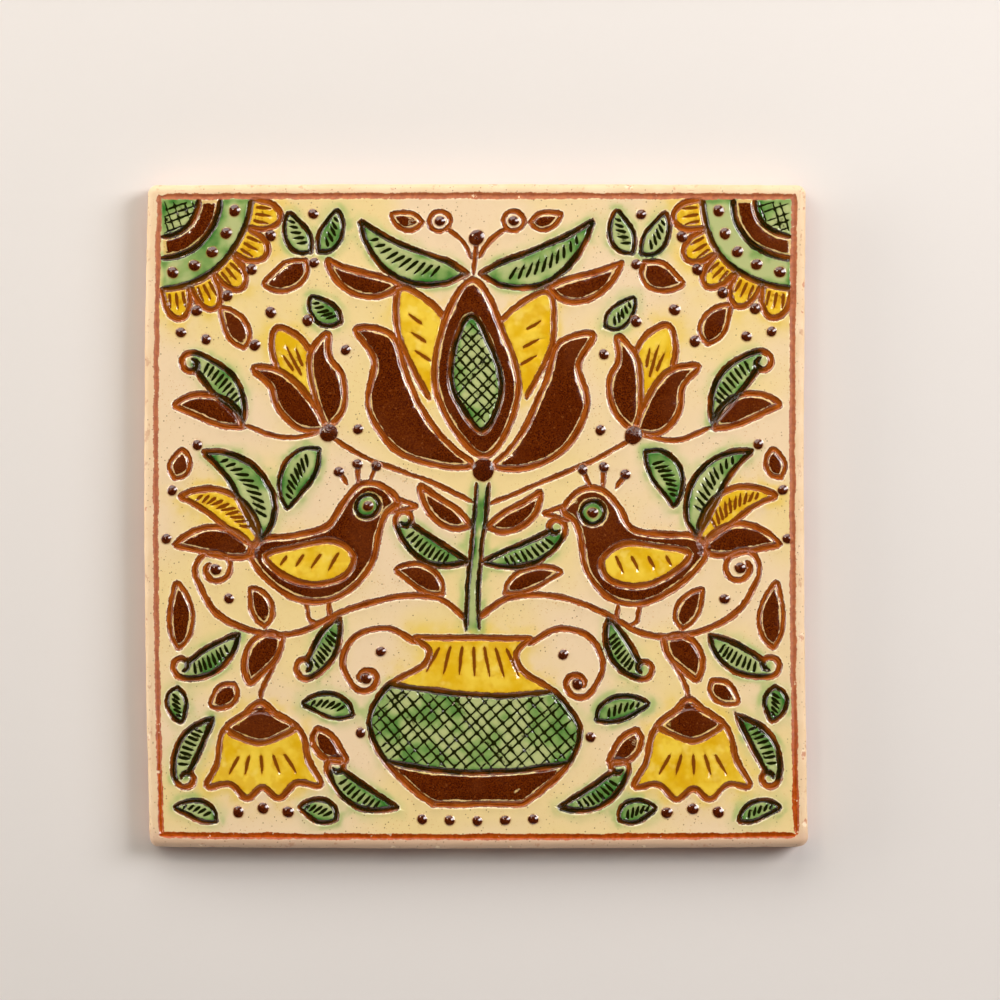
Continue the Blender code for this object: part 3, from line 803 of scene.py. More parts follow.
def rim_path():
    """A line at the corner radius inside the edge, with the way outwards at each point."""
    points, outwards = [], []
    around = corners(CORNER_RADIUS)
    for side in range(4):
        line = side_line(side, CORNER_RADIUS, steps=RIM_STEPS)
        along = around[(side + 1) % 4] - around[side]
        turn = math.atan2(-along[0], along[1])
        round_corner = [turn + math.pi / 2 * i / CORNER_STEPS for i in range(1, CORNER_STEPS)]
        points += list(line) + [line[-1]] * len(round_corner)
        outwards += [(math.cos(a), math.sin(a)) for a in [turn] * len(line) + round_corner]
    points, outwards = np.array(points), np.array(outwards)
    run = np.arange(len(points))
    wobble = EDGE_WOBBLE * wavering(run, EDGE_WAVES, 5, 1) / 2
    return points - outwards * np.maximum(wobble, 0)[:, None], outwards


# Mesh of the tile

# Rings of vertices in a bead: share of its radius, and vertices
BEAD_RINGS = ((0, 1), (0.3, 6), (0.6, 12), (0.85, 16), (1.05, 18), (1.3, 18))
BEAD_GAP = 0.27
# Rows of vertices along a line: share of its half width, length beyond that, and gap
CUT_ROWS = ((1.04, 0, 0.16), (0.5, 0, 0.2), (0.8, 0, 0.16), (1.0, 0.26, 0.17), (1.0, 0.62, 0.34))
MARK_ROWS = ((0, 0, 0.22), (1.1, 0, 0.22), (3.2, 0, 0.6))
OPEN_SPACING = 2.5
OPEN_GAP = 0.95
RIM_CLEARANCE = 0.35

# Angles of the rings around the upper and the lower edge, and heights of those between
UPPER_TURNS = (15, 30, 45, 60, 75, 90)
SIDE_HEIGHTS = (6.0, 4.3, 2.6)
LOWER_TURNS = (0, 30, 60, 90)
BACK_GRID = np.arange(-96, 97, 6.0)
BACK_CLEARANCE = 4

# Chips in the rim: how many, and least and most of place, radius, depth and angle
CHIPS = 18
CHIP_RANGES = ((0, 0.6, 0.1, 25), (1, 1.7, 0.22, 65))

# Length over which a slope of the face is measured
SLOPE_STEP = 0.1

# Share of the texture that the face takes, and the strips for sides and back beside it
MAP_MARGIN = 0.002
MAP_FACE = 0.9
MAP_STRIPS = 0.906
MAP_BACK = 0.09
MAP_STRIP_STEP = 0.047
MAP_STRIP_WIDTH = 0.042


def thinned(groups):
    """The points that keep each group's gap to all that came before, as one array."""
    cell = 0.11
    taken = {}
    for points, gap in groups:
        reach = math.ceil(gap / cell)
        around = [(i, j) for i in range(-reach, reach + 1) for j in range(-reach, reach + 1)]
        for x, y in points.tolist():
            column, row = int(x // cell), int(y // cell)
            near = (taken.get((column + i, row + j)) for i, j in around)
            if not any(p and (p[0] - x) ** 2 + (p[1] - y) ** 2 < gap * gap for p in near):
                taken[(column, row)] = (x, y)
    return np.array(list(taken.values()))


def face_points(drawing, strokes):
    """Where the face needs vertices: rings in beads, rows along every stroke, a grid elsewhere."""
    rings = []
    for point, size in drawing.beads:
        centre = on_clay([point])[0]
        for share, count in BEAD_RINGS:
            reach = BEAD_RADIUS * size * share
            rings += [centre + reach * np.array((math.cos(a), math.sin(a)))
                      for a in np.arange(count) * math.tau / count]
    groups = [(np.array(rings), BEAD_GAP)]
    cuts = [stroke for stroke in strokes if stroke.family != "fine"]
    marks = [stroke for stroke in strokes if stroke.family == "fine"]
    for chosen, rows in ((cuts, CUT_ROWS), (marks, MARK_ROWS)):
        for share, beyond, gap in rows:
            groups += [(row, gap) for stroke in chosen for row in stroke.rows(share, beyond)]
    grid = []
    for j, y in enumerate(np.arange(-TILE_HEIGHT / 2, TILE_HEIGHT / 2, OPEN_SPACING * 0.87)):
        x = np.arange(-TILE_WIDTH / 2, TILE_WIDTH / 2, OPEN_SPACING) + (j % 2) * OPEN_SPACING / 2
        grid.append(np.column_stack((x, 0 * x + y)))
    groups.append((np.vstack(grid), OPEN_GAP))
    inset = FACE_EDGE_RADIUS + RIM_CLEARANCE
    return thinned([(group[edge_distance(group) > inset], gap) for group, gap in groups])


def face_relief(places, drawing, strokes):
    """Heights of the face over the slab's flat top, and the values that its colours need."""
    x, y = places.points.T
    values, groove, burr = stroke_values(places, strokes)
    dome, values["bead"] = bead_values(places, drawing.beads)
    inside = {colour: area_distance(places, drawing.areas, colour, 2.5) for colour in COLOURS}
    slip = inside["brown"] + slip_drift(x, y)
    slip = SLIP_RISE * eased(slip, SLIP_INSET - 0.25, SLIP_INSET + 0.4)
    pillow = PILLOW_RISE * eased(np.maximum.reduce(list(inside.values())), 0.6, 2.5)
    edge = edge_distance(places.points)
    rolled = -ROLL_DEPTH * eased(-edge, -4.4, -1.6)
    lumps = LUMP_HEIGHT * waves(x, y, 3.1, 12) * eased(-edge, -3.4, -2.4)
    calm = WAVE_HEIGHT * (0.7 * waves(x, y, 21, 13) + 0.3 * waves(x, y, 7.5, 14))
    burr = burr * np.clip(1 + groove / 0.12, 0, 1) * (1 + 0.5 * waves(x, y, 4, 15))
    covered = np.clip(dome / 0.25, 0, 1)
    height = (groove + burr) * (1 - covered) + np.maximum(slip, dome) + pillow * (1 - covered)
    height = height + calm * (1 - covered) + rolled + lumps
    return np.minimum(height, BEAD_RISE), values


def slip_drift(x, y):
    """How far the hand took the brown slip past its usual edge, or short of it."""
    return 0.20 * waves(x, y, 11, 11) + 0.10 * waves(x, y, 3.1, 17)


def face_samples(flat, drawing, strokes):
    """Heights and normals of the face at its vertices, and the values that its colours need."""
    step = SLOPE_STEP
    places = Places(np.vstack((flat, flat + (step, 0), flat + (0, step))))
    heights, values = face_relief(places, drawing, strokes)
    here, east, north = np.split(heights, 3)
    slopes = np.column_stack(((here - east) / step, (here - north) / step, np.ones(len(here))))
    slopes /= np.linalg.norm(slopes, axis=1)[:, None]
    values = {name: value[:len(flat)] for name, value in values.items()}
    places = Places(flat)
    for colour in COLOURS:
        values[colour] = area_distance(places, drawing.areas, colour, -FAR)
    values["brown"] += slip_drift(*flat.T)
    values["edge"] = edge_distance(flat)
    return here, slopes, values


def triangles_between(points, border):
    """Triangles over the points, inside the closed border that the first of them make."""
    edges = [(i, (i + 1) % border) for i in range(border)]
    made = delaunay_2d_cdt([Vector(p) for p in points.tolist()], edges, [list(range(border))], 1, 1e-6)
    given = [numbers[0] for numbers in made[3]]
    return [tuple(given[i] for i in face) for face in made[2]]


def side_profile():
    """The rings from the face down to the back: inset, height and share of the face's relief."""
    rings = []
    for turn in UPPER_TURNS:
        angle = math.radians(turn)
        rings.append((FACE_EDGE_RADIUS * (1 - math.sin(angle)),
                      TILE_THICKNESS - FACE_EDGE_RADIUS * (1 - math.cos(angle)), 1 - turn / 90))
    rings += [(0, height, 0) for height in SIDE_HEIGHTS]
    for turn in LOWER_TURNS:
        angle = math.radians(turn)
        rings.append((BACK_EDGE_RADIUS * (1 - math.cos(angle)),
                      BACK_EDGE_RADIUS * (1 - math.sin(angle)), 0))
    return rings


def side_rings(path, outwards, profile, relief):
    """The vertices of each ring of the profile, a little rough on the sides."""
    run = np.arange(len(path))
    rings = []
    for inset, height, share in profile:
        across = CORNER_RADIUS - inset
        if BACK_EDGE_RADIUS < height < TILE_THICKNESS - 0.5:
            rough = SIDE_ROUGHNESS * waves(run, 0 * run + height * 2, 7, 21)
            across = across + (rough - SIDE_ROUGHNESS)
        ring = path + outwards * np.reshape(across, (-1, 1))
        rings.append(np.column_stack((ring, height + share * relief)))
    return rings


def side_faces(firsts, count):
    """The faces between each ring of vertices and the next."""
    faces = []
    for upper, lower in zip(firsts, firsts[1:]):
        for i in range(count):
            j = (i + 1) % count
            faces.append((upper + i, lower + i, lower + j, upper + j))
    return faces


def chipped(points, path, outwards):
    """Presses small chips into the rim, and gives how deep in a chip each point lies, up to 1."""
    rng = np.random.default_rng(8)
    depth = np.zeros(len(points))
    for place, radius, bite, lift in rng.uniform(*CHIP_RANGES, (CHIPS, 4)):
        number = int(place * len(path))
        lift = math.radians(lift)
        way = np.array((*(outwards[number] * math.cos(lift)), math.sin(lift)))
        base = np.array((*(path[number] + outwards[number] * (CORNER_RADIUS - FACE_EDGE_RADIUS)),
                         TILE_THICKNESS - FACE_EDGE_RADIUS))
        gap = (points - base - way * FACE_EDGE_RADIUS) / (1, 1, 0.8)
        share = np.clip(1 - np.linalg.norm(gap, axis=1) / radius, 0, 1)
        points -= way * (bite * eased(share, 0, 0.7))[:, None]
        depth = np.maximum(depth, share ** 0.5)
    return depth


def lay_out(mesh, top_faces, back_faces, count, profile):
    """A texture map: the face in one square, the sides in strips beside it, the back in the corner."""
    corner = np.zeros(len(mesh.loops), np.int32)
    mesh.loops.foreach_get("vertex_index", corner)
    place = np.zeros(len(mesh.vertices) * 3, np.float32)
    mesh.vertices.foreach_get("co", place)
    share = place.reshape(-1, 3)[:, :2] * METRE / (TILE_HEIGHT + 2 * CORNER_RADIUS) + 0.5
    flat = share[corner]
    back = len(corner) - 3 * back_faces
    uv = MAP_MARGIN + MAP_FACE * flat
    uv[back:] = MAP_STRIPS + MAP_BACK * flat[back:]
    # Length down the side at each ring, from the first that leaves the planar part
    down = np.array([(inset, height) for inset, height, _ in profile])
    run = np.concatenate(([0], np.cumsum(np.hypot(*np.diff(down, axis=0).T))))
    run = np.clip((run - run[PLANAR_RINGS - 1]) / (run[-1] - run[PLANAR_RINGS - 1]), 0, 1)
    i = np.arange(count)
    side, step = i * 4 // count, i * 4 % count / count
    width = 4 / count
    along = np.column_stack((step, step, step + width, step + width)) * MAP_FACE
    upright = (side < 2)[:, None]
    for ring in range(PLANAR_RINGS, len(profile)):
        across = np.array((run[ring - 1], run[ring], run[ring], run[ring - 1]))
        margin = MAP_STRIPS + (side % 2 * MAP_STRIP_STEP)[:, None] + MAP_STRIP_WIDTH * across
        first = 3 * top_faces + ring * count * 4
        uv[first:first + count * 4, 0] = np.where(upright, margin, along).ravel()
        uv[first:first + count * 4, 1] = np.where(upright, along, margin).ravel()
    mesh.uv_layers.new(name="OFBake").uv.foreach_set("vector", uv.astype(np.float32).ravel())


def bend_normals(mesh, slopes, free):
    """Smooth normals, and those of the true slopes where the face is free of the rim."""
    mesh.shade_smooth()
    bent = np.zeros(len(mesh.vertices) * 3, np.float32)
    mesh.vertex_normals.foreach_get("vector", bent)
    bent = bent.reshape(-1, 3)
    bent[:len(slopes)][free] = slopes[free]
    mesh.normals_split_custom_set_from_vertices(bent.tolist())


def store(mesh, values):
    """Keeps the values at the mesh's points. Those of the face come first, and may be all there are."""
    for name, value in values.items():
        whole = np.full(len(mesh.vertices), 0.0 if name == "edge" else FAR)
        whole[:len(value)] = value
        mesh.attributes.new(name, "FLOAT", "POINT").data.foreach_set("value", whole)


def make_tile():
    """The tile: the face with its relief, the rounded rim, the sides and the plain back."""
    drawing = picture()
    strokes = all_strokes(drawing)
    path, outwards = rim_path()
    count = len(path)
    rim = path + outwards * (CORNER_RADIUS - FACE_EDGE_RADIUS)
    flat = np.vstack((rim, face_points(drawing, strokes)))
    relief, slopes, values = face_samples(flat, drawing, strokes)
    profile = side_profile()
    rings = side_rings(path, outwards, profile, relief[:count])
    grid = np.array([(x, y) for x in BACK_GRID for y in BACK_GRID])
    grid = grid[edge_distance(grid) > BACK_CLEARANCE]
    points = np.vstack((np.column_stack((flat, TILE_THICKNESS + relief)), *rings,
                        np.column_stack((grid, 0 * grid[:, 0]))))
    values["chip"] = chipped(points, path, outwards)

    top = triangles_between(flat, count)
    back = triangles_between(np.vstack((rings[-1][:, :2], grid)), count)
    # The number of each ring's first vertex
    firsts = [0] + [len(flat) + count * i for i in range(len(rings))]
    faces = top + side_faces(firsts, count)
    faces += [tuple(firsts[-1] + i for i in face[::-1]) for face in back]

    mesh = bpy.data.meshes.new("tile_face")
    mesh.from_pydata((points / METRE).tolist(), [], faces)
    mesh.update()
    store(mesh, values)
    lay_out(mesh, len(top), len(back), count, profile)
    bend_normals(mesh, slopes, values["edge"] > FACE_EDGE_RADIUS + 0.5)
    tile = bpy.data.objects.new("tile_body", mesh)
    bpy.context.scene.collection.objects.link(tile)
    return tile


# Materials

def srgb(*levels):
    """A colour that is given as it shows on screen, red, green and blue from 0 to 255."""
    shares = [level / 255 for level in levels]
    return tuple(((s + 0.055) / 1.055) ** 2.4 if s > 0.04 else s / 12.92 for s in shares) + (1.0,)


class Value:
    """What a node gives. Sums, differences and products of it are math nodes, and | is the larger."""

    def __init__(self, nodes, socket):
        self.nodes, self.socket = nodes, socket

    def __add__(self, other):
        return self.nodes.math("ADD", self, other)

    def __sub__(self, other):
        return self.nodes.math("SUBTRACT", self, other)

    def __rsub__(self, other):
        return self.nodes.math("SUBTRACT", other, self)

    def __mul__(self, other):
        return self.nodes.math("MULTIPLY", self, other)

    def __or__(self, other):
        return self.nodes.math("MAXIMUM", self, other)


class Nodes:
    """Short ways to build a node tree. Inputs are Values or plain numbers, lengths in millimetres."""

    def __init__(self, owner, place):
        owner.use_nodes = True
        self.owner, self.tree = owner, owner.node_tree
        self.place = self.node("TexCoord", place, {})

    def node(self, kind, output, inputs, **settings):
        """Adds a node, and gives one of its outputs."""
        node = self.tree.nodes.new("ShaderNode" + kind)
        for name, setting in settings.items():
            setattr(node, name, setting)
        for name, value in inputs.items():
            if isinstance(value, Value):
                self.tree.links.new(value.socket, node.inputs[name])
            else:
                node.inputs[name].default_value = value
        return Value(self, node.outputs[output])

    def value(self, name):
        """A value that the mesh stores at its points."""
        return self.node("Attribute", "Fac", {}, attribute_name=name)

    def math(self, operation, a, b, clamp=False):
        return self.node("Math", 0, {0: a, 1: b}, operation=operation, use_clamp=clamp)

    def axis(self, name):
        return self.node("SeparateXYZ", name, {0: self.place})

    def noise(self, length, detail=2.0, roughness=0.5, shift=0.0):
        """Noise of 0 to 1 with features of about the given length."""
        inputs = {"Scale": 1 / length, "Detail": detail, "Roughness": roughness, "W": shift,
                  "Vector": self.place}
        return self.node("TexNoise", "Fac", inputs, noise_dimensions="4D")

    def cells(self, length):
        """Distance from the nearest of scattered points, in shares of their usual gap."""
        return self.node("TexVoronoi", "Distance", {"Scale": 1 / length, "Vector": self.place})

    def step(self, value, low, high):
        """0 to 1, smoothly, as the value goes from low to high."""
        falls = low > high
        inputs = {"Value": value, "From Min": min(low, high), "From Max": max(low, high),
                  "To Min": float(falls), "To Max": float(not falls)}
        return self.node("MapRange", "Result", inputs, interpolation_type="SMOOTHSTEP")

    def mix(self, share, *colours):
        """The first colour, turned into the second by a share."""
        a, b = (c if isinstance(c, Value) else srgb(*c) for c in colours)
        return self.node("Mix", 2, {0: share, 6: a, 7: b}, data_type="RGBA")

    def bump(self, height, depth, below=None):
        """Surface detail: a height of 0 to 1 that stands for the given depth."""
        inputs = {"Strength": 1.0, "Distance": depth / METRE, "Height": height}
        if below:
            inputs["Normal"] = below
        return self.node("Bump", "Normal", inputs)

    def surface(self, colour, roughness, normal):
        """Joins the three to the shader, and gives the material."""
        inputs = self.tree.nodes["Principled BSDF"].inputs
        for name, value in (("Base Color", colour), ("Roughness", roughness), ("Normal", normal)):
            self.tree.links.new(value.socket, inputs[name])
        return self.owner


def clay_nodes(name):
    """The nodes of a new material, with places in millimetres."""
    n = Nodes(bpy.data.materials.new(name), "Object")
    n.place = n.node("VectorMath", 0, {0: n.place, "Scale": METRE}, operation="SCALE")
    return n


def face_nodes():
    """The nodes of the glazed face, with the noises and masks that its layers share."""
    n = clay_nodes("glazed_earthenware")
    n.middle, n.small, n.tiny = n.noise(7, 3), n.noise(1.6, 3), n.noise(0.42, 2)
    n.wander = n.noise(1.5, 4, 0.68, shift=3) + n.tiny * 0.4 - 0.7
    n.spread = n.noise(6.5, 2, shift=7) - 0.5
    # Noise that is drawn out along the cut lines, as the tool leaves it
    along = n.node("CombineXYZ", 0, {"X": n.value("across") * 3.6, "Y": n.value("run") * 0.16})
    n.streaks = n.node("TexNoise", "Fac", {"Vector": along, "Scale": 1.0, "Detail": 2.0},
                       noise_dimensions="2D")
    n.line, n.fine = ragged(n, "outline", 0.95), ragged(n, "fine", 0.5)
    n.cut_line = n.step(n.line, -0.05, 0.06)
    n.pooled = n.step(n.line | n.fine, -0.7, 0.15)
    return n


def ragged(n, name, amount):
    """A stored distance with its edge made uneven."""
    return n.value(name) + n.wander * amount


def cream_ground(n):
    """Cream slip under clear glaze, with clouds, specks and colour from the glazes near it."""
    cream = n.mix(n.step(n.noise(45, 2), 0.42, 0.6), (238, 213, 174), (237, 213, 151))
    cloud = n.step(n.value("yellow"), -11, -0.5) * n.step(n.middle, 0.25, 0.65)
    cream = n.mix(cloud * 0.42, cream, (234, 204, 100))
    cream = n.mix(n.step(n.small, 0.5, 0.8) * 0.14, cream, (214, 178, 112))
    pins = n.step(n.cells(0.95), 0.2, 0.1) * n.step(n.noise(14, 2, shift=73), 0.46, 0.56)
    cream = n.mix(pins * 0.6, cream, (198, 134, 66))
    speck = n.step(n.cells(1.55), 0.17, 0.08) * n.step(n.middle, 0.42, 0.52)
    cream = n.mix(speck * 0.85, cream, (112, 72, 34))
    fleck = n.step(n.noise(1.3, 2, shift=61), 0.70, 0.76) * n.step(n.line, -3.5, -0.8)
    cream = n.mix(fleck * 0.5, cream, (206, 140, 66))
    haze = n.step(n.value("green") + n.spread * 6.0, -4.6, 0.4)
    cream = n.mix(haze * 0.55, cream, (184, 196, 124))
    bleed = n.step(n.value("yellow") + (n.middle - 0.5) * 14, -4.5, 1.0)
    return n.mix(bleed * 0.6, cream, (233, 200, 74))


def lip_glaze_and_highlight(n, cream):
    """The ground with its burrs: pale glaze on top of them, brightened further as a painted highlight
    along the cut edges, and amber where it gathers.
    """
    lip = n.step(n.line, -0.42, -0.2) * n.step(n.line, 0.02, -0.1)
    # Pale glaze over the burrs, partly real and partly a painted highlight that stands in for the glints
    # along the cut edges.
    ground = n.mix(lip * 0.65, cream, (252, 235, 202))
    amber = n.step(n.line, -0.34, -0.03) * n.step(n.small, 0.5, 0.6)
    return n.mix(amber * 0.75, ground, (200, 128, 44))


def cut_clay(n):
    """Bare clay in the cuts, under the clear glaze, darker at the edges of each cut."""
    clay = n.mix(n.step(n.streaks, 0.32, 0.66), (122, 47, 0), (182, 94, 24))
    clay = n.mix(n.step(n.small, 0.45, 0.7) * 0.35, clay, (196, 106, 32))
    clay = n.mix(n.step(n.tiny, 0.6, 0.72) * 0.3, clay, (214, 142, 84))
    clay = n.mix(n.step(n.tiny, 0.36, 0.26) * 0.5, clay, (96, 40, 12))
    # Darker band at the edges of the cut: partly thicker glaze pooled there, partly painted shade of the
    # groove walls.
    clay = n.mix(n.step(n.line, 0.30, 0.06), clay, (92, 34, 0))
    return n.mix(n.step(n.fine, 0.0, 0.2), clay, (122, 58, 10))


def green_glaze(n, ground, clay):
    """Adds green glaze, thin and pale in the open, dark where it pools and in the cuts."""
    inside = n.value("green")
    place = inside + n.spread * 4.4
    green = n.step(place, -0.9, 0.7)
    depth = n.math("ADD", n.step(n.noise(9, 2, shift=13), 0.36, 0.66) * 0.75,
                   n.step(inside, 2.2, 0.9) * 0.22, clamp=True)
    depth = n.math("ADD", depth, (n.small - 0.5) * 0.3, clamp=True)
    leaf = n.mix(n.step(depth, 0.1, 0.6), (182, 190, 128), (136, 166, 92))
    leaf = n.mix(n.step(depth, 0.45, 1.0), leaf, (50, 114, 40))
    leaf = n.mix(n.pooled * 0.25, leaf, (44, 92, 28))
    run_out = n.step(inside + n.spread * 1.6, -2.9, -1.2) * n.step(n.noise(8, 2, shift=71), 0.47, 0.6)
    ground = n.mix(run_out * 0.6, ground, (148, 180, 98))
    dark = n.mix(n.step(n.streaks * 0.6 + n.tiny * 0.5, 0.5, 0.72), (25, 26, 0), (88, 46, 8))
    clay = n.mix(n.step(place, -1.9, 0.2), clay, dark)
    return n.mix(green, ground, leaf), n.mix(green * n.step(n.fine, 0.0, 0.12), clay, (25, 29, 0))


def yellow_glaze(n, ground, clay):
    """Adds yellow glaze, amber where it pools."""
    place = n.value("yellow") + n.spread * 2.4
    honey = n.mix(n.step(n.middle, 0.35, 0.65), (242, 208, 70), (226, 180, 22))
    honey = n.mix(n.step(n.noise(4, 2, shift=17), 0.5, 0.66) * 0.45, honey, (216, 160, 16))
    honey = n.mix(n.step(n.noise(5, 2, shift=19), 0.56, 0.7) * 0.5, honey, (246, 220, 112))
    honey = n.mix(n.pooled * n.step(n.small, 0.3, 0.65), honey, (206, 144, 20))
    ground = n.mix(n.step(place, -0.7, 0.5), ground, honey)
    return ground, n.mix(n.step(place, -0.7, 0.7) * 0.4, clay, (142, 82, 12))


def brown_slip(n, ground):
    """Brown slip with pores and small places that the brush missed, in a gap of thin glaze."""
    inside = n.value("brown")
    missed = n.step(n.noise(6, 2, shift=21), 0.70, 0.74) * n.step(n.small, 0.4, 0.55)
    missed = missed * n.step(inside, 2.6, 3.4)
    slip = n.step(ragged(n, "brown", 0.9), SLIP_INSET - 0.12, SLIP_INSET + 0.08) * (1.0 - missed * 0.85)
    brown = n.mix(n.step(n.tiny, 0.36, 0.64), (66, 15, 0), (104, 43, 2))
    brown = n.mix(n.step(n.middle, 0.4, 0.7) * 0.4, brown, (84, 28, 0))
    brown = n.mix(n.step(n.noise(16, 2, shift=25), 0.48, 0.64) * 0.3, brown, (114, 56, 24))
    brown = n.mix(n.step(n.noise(0.8, 2, shift=23), 0.62, 0.72) * 0.5, brown, (146, 82, 36))
    pores = n.step(n.cells(1.1), 0.16, 0.08) * n.step(n.small, 0.42, 0.55)
    brown = n.mix(pores * 0.7, brown, (38, 12, 2))
    gap = n.step(inside, 0.2, 0.7) * (1.0 - slip)
    return n.mix(gap * 0.6, ground, (220, 176, 92)), slip, brown


def beads_over(n, colour):
    """The colour with the trailed beads on it, and where they are."""
    bead = n.step(ragged(n, "bead", 0.6), -0.04, 0.06)
    halo = n.step(ragged(n, "bead", 0.9), -0.5, 0.0)
    dot = n.mix(n.step(n.tiny, 0.35, 0.7), (58, 14, 0), (94, 36, 2))
    dot = n.mix(n.step(n.small, 0.5, 0.75) * 0.5, dot, (116, 56, 14))
    return n.mix(bead, n.mix(halo * 0.6, colour, (166, 100, 30)), dot), bead


def rim_over(n, colour):
    """The colour with the framing line and the rubbed, chipped rim on it, painted shade along the bottom
    of the rim, and how matte it is.
    """
    edge, height = n.value("edge"), n.axis("Y")
    low = n.step(height, -40, -92)
    chalk = n.mix(n.step(n.middle, 0.35, 0.65), (232, 204, 164), (226, 195, 151))
    # Painted shade: the rim is darker towards the bottom edge.
    chalk = n.mix(n.step(height, -93, -98) * 0.8, chalk, (206, 170, 140))
    grit = n.step(n.cells(1.5), 0.18, 0.10) * n.step(n.small, 0.42, 0.52)
    chalk = n.mix(grit * 0.7, chalk, (120, 74, 46))
    rubs = n.noise(4.5, 4, 0.7, shift=edge * 2.4) + n.step(edge, 2.0, 0.5) * 0.1
    chalk = n.mix(n.step(rubs, 0.67, 0.74) * 0.55, chalk, (186, 122, 84))
    rim = n.step(edge + n.wander * 0.8, BORDER_INSET - 0.2, BORDER_INSET - 0.8)
    colour = n.mix(rim, colour, chalk)
    chip = n.step(n.value("chip") + n.wander * 0.9, 0.3, 0.5)
    broken = n.mix(n.step(n.small, 0.4, 0.6), (200, 140, 102), (244, 222, 188))
    colour = n.mix(chip, colour, broken)
    rust = n.mix(n.step(n.small, 0.38, 0.62), n.mix(low, (160, 78, 26), (164, 66, 2)),
                 n.mix(low, (182, 98, 42), (192, 84, 18)))
    rust = n.mix(n.step(n.tiny, 0.36, 0.28) * 0.5, rust, (92, 44, 24))
    rust = n.mix(n.step(n.noise(2.2, 3, 0.6, shift=43), 0.665, 0.69), rust, (240, 214, 174))
    line = n.step(ragged(n, "border", 1.3), -0.05, 0.07)
    line = line * n.step(n.noise(2.4, 4, 0.7, shift=41), 0.24, 0.32)
    return n.mix(line, colour, rust), rim | chip | line * (1.0 - low * 0.9)


def glazed_face():
    """Cream slip with cut clay lines, brown slip, green and yellow glazes, and a rubbed rim."""
    n = face_nodes()
    ground, clay = green_glaze(n, lip_glaze_and_highlight(n, cream_ground(n)), cut_clay(n))
    ground, clay = yellow_glaze(n, ground, clay)
    ground, slip, brown = brown_slip(n, ground)
    cut = n.cut_line | n.step(n.fine, -0.04, 0.07)
    colour, bead = beads_over(n, n.mix(slip, n.mix(cut, ground, clay), brown))
    colour, matte = rim_over(n, colour)
    gloss = n.small * 0.09 + 0.07 + slip * (n.tiny * 0.05) + bead * 0.04
    n.tree.nodes["Principled BSDF"].inputs["IOR"].default_value = GLAZE_IOR
    skin = n.bump(n.noise(2.8, 2, shift=51), 0.022)
    skin = n.bump(n.cut_line * n.streaks, 0.06, skin)
    skin = n.bump((matte | slip * 0.15) * n.tiny, 0.06, skin)
    return n.surface(colour, gloss * (1.0 - matte) + matte * 0.62, skin)


def bare_clay():
    """Fired terracotta of the sides and back, with slip that ran a little way down the sides."""
    n = clay_nodes("bare_terracotta")
    small = n.noise(1.8, 4, 0.6)
    clay = n.mix(n.step(n.noise(9, 3), 0.3, 0.7), (176, 104, 70), (194, 122, 86))
    clay = n.mix(n.step(small, 0.55, 0.75) * 0.45, clay, (214, 150, 112))
    clay = n.mix(n.step(n.cells(1.9), 0.16, 0.10) * 0.4, clay, (124, 66, 42))
    level = n.axis("Z") + (n.noise(11, 3, shift=9) - 0.5) * 7.0
    washed = n.step(level, 3.6, 4.4) * n.step(small, 0.72, 0.58)
    slip = n.mix(n.step(small, 0.35, 0.7), (240, 212, 174), (226, 190, 148))
    skin = n.bump(n.noise(0.5, 3), 0.08, n.bump(small, 0.10))
    return n.surface(n.mix(washed, clay, slip), small * 0.25 + 0.62, skin)


# Studio, in metres and watts

# The floor lies a hair above the tile's back, so that the back shows from below
FLOOR_LIFT = 0.0002
FLOOR_SIZE = 3.2
FLOOR_COLOUR = (0.74, 0.72, 0.69, 1)
FLOOR_ROUGHNESS = 0.6
HORIZON_COLOUR = (1.0, 0.96, 0.92, 1.0)
# How bright the surroundings are, at the horizon and high up
HORIZON_FADE = {"From Min": 0.04, "From Max": 0.28, "To Min": 0.4, "To Max": 0.01}
CAMERA_PLACE = (0.0070, 0.0048)
CAMERA_DISTANCE = 1.2
CAMERA_FIELD = 0.303
SENSOR_WIDTH = 36
# Name, place, size, power and colour
LIGHTS = (("window", (1.25, 0.55, 1.05), (0.72, 1.04), 28, (1.0, 0.95, 0.94)),
          ("lamp", (-0.60, 0.62, 1.1), (0.10, 0.10), 1.8, (1.0, 0.80, 0.58)),
          ("fill", (-1.65, 0.5, 0.36), (1.8, 0.7), 25, (1.0, 0.95, 0.9)),
          ("far_fill", (-0.2, 0.9, 0.6), (1.4, 0.6), 8, (1.0, 0.95, 0.91)),
          ("near_fill", (0.2, -1.5, 0.35), (1.8, 0.6), 5, (1.0, 0.93, 0.88)),
          ("under", (0.5, -0.7, -1.1), (1.2, 1.2), 12, (1.0, 0.95, 0.9)))


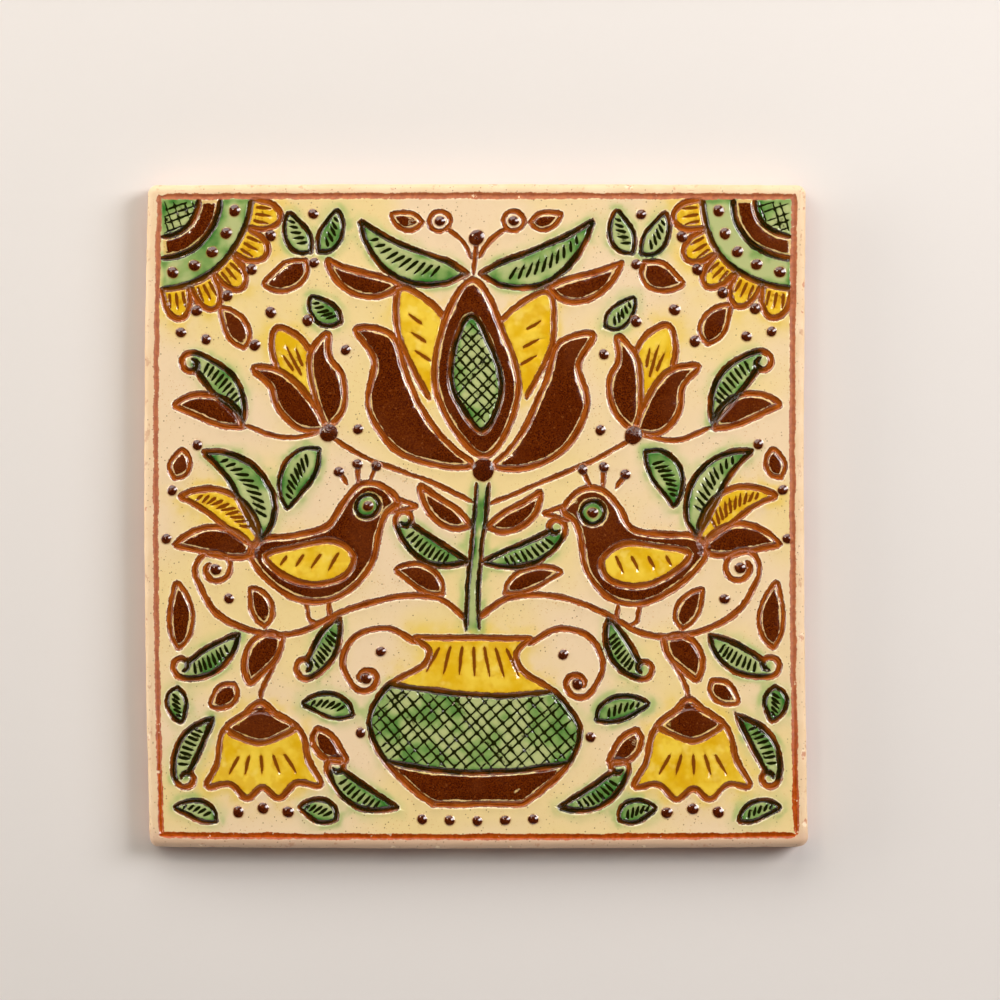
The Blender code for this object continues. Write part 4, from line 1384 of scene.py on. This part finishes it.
def light_surroundings():
    """A pale horizon that fades upwards."""
    world = bpy.context.scene.world = bpy.data.worlds.new("studio")
    n = Nodes(world, "Generated")
    inputs = {"Value": n.axis("Z"), **HORIZON_FADE}
    fade = n.node("MapRange", "Result", inputs, interpolation_type="SMOOTHSTEP")
    background = n.tree.nodes["Background"].inputs
    background["Color"].default_value = HORIZON_COLOUR
    n.tree.links.new(fade.socket, background["Strength"])


def lay_floor():
    """A pale floor under the tile."""
    bpy.ops.mesh.primitive_plane_add(size=FLOOR_SIZE, location=(0, 0, FLOOR_LIFT))
    floor = bpy.context.object
    floor.name = "floor"
    material = bpy.data.materials.new("floor")
    material.use_nodes = True
    shader = material.node_tree.nodes["Principled BSDF"].inputs
    shader["Base Color"].default_value = FLOOR_COLOUR
    shader["Roughness"].default_value = FLOOR_ROUGHNESS
    floor.data.materials.append(material)


def hang_light(name, place, size, power, colour):
    """An area light that faces the tile."""
    data = bpy.data.lights.new(name, "AREA")
    data.shape = "RECTANGLE"
    data.size, data.size_y = size
    data.energy = power
    data.color = colour
    light = bpy.data.objects.new(name, data)
    light.location = place
    light.rotation_euler = (-Vector(place)).to_track_quat("-Z", "Y").to_euler()
    bpy.context.scene.collection.objects.link(light)


def studio():
    """Floor and horizon, a broad light from the right, a small warm lamp, and fills around."""
    light_surroundings()
    lay_floor()
    for light in LIGHTS:
        hang_light(*light)
    bpy.context.scene.view_settings.view_transform = "Standard"


def look_down():
    """The camera, straight above and a little off the middle, so that the tile fills the picture."""
    data = bpy.data.cameras.new("camera")
    camera = bpy.data.objects.new("camera", data)
    bpy.context.scene.collection.objects.link(camera)
    data.sensor_width = SENSOR_WIDTH
    data.lens = SENSOR_WIDTH * CAMERA_DISTANCE / CAMERA_FIELD
    camera.location = (*CAMERA_PLACE, CAMERA_DISTANCE + TILE_THICKNESS / METRE)
    bpy.context.scene.camera = camera


def dress(tile):
    """Glaze on the face and the rounded rim, bare clay on the sides and the back."""
    tile.data.materials.append(glazed_face())
    tile.data.materials.append(bare_clay())
    centres = np.zeros(len(tile.data.polygons) * 3, np.float32)
    tile.data.polygons.foreach_get("center", centres)
    heights = centres[2::3] * METRE
    bare = heights < TILE_THICKNESS - FACE_EDGE_RADIUS - 0.1
    tile.data.polygons.foreach_set("material_index", bare.astype(np.int32))


tile = make_tile()
dress(tile)
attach(tile, "root")
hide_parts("tile")
studio()
look_down()
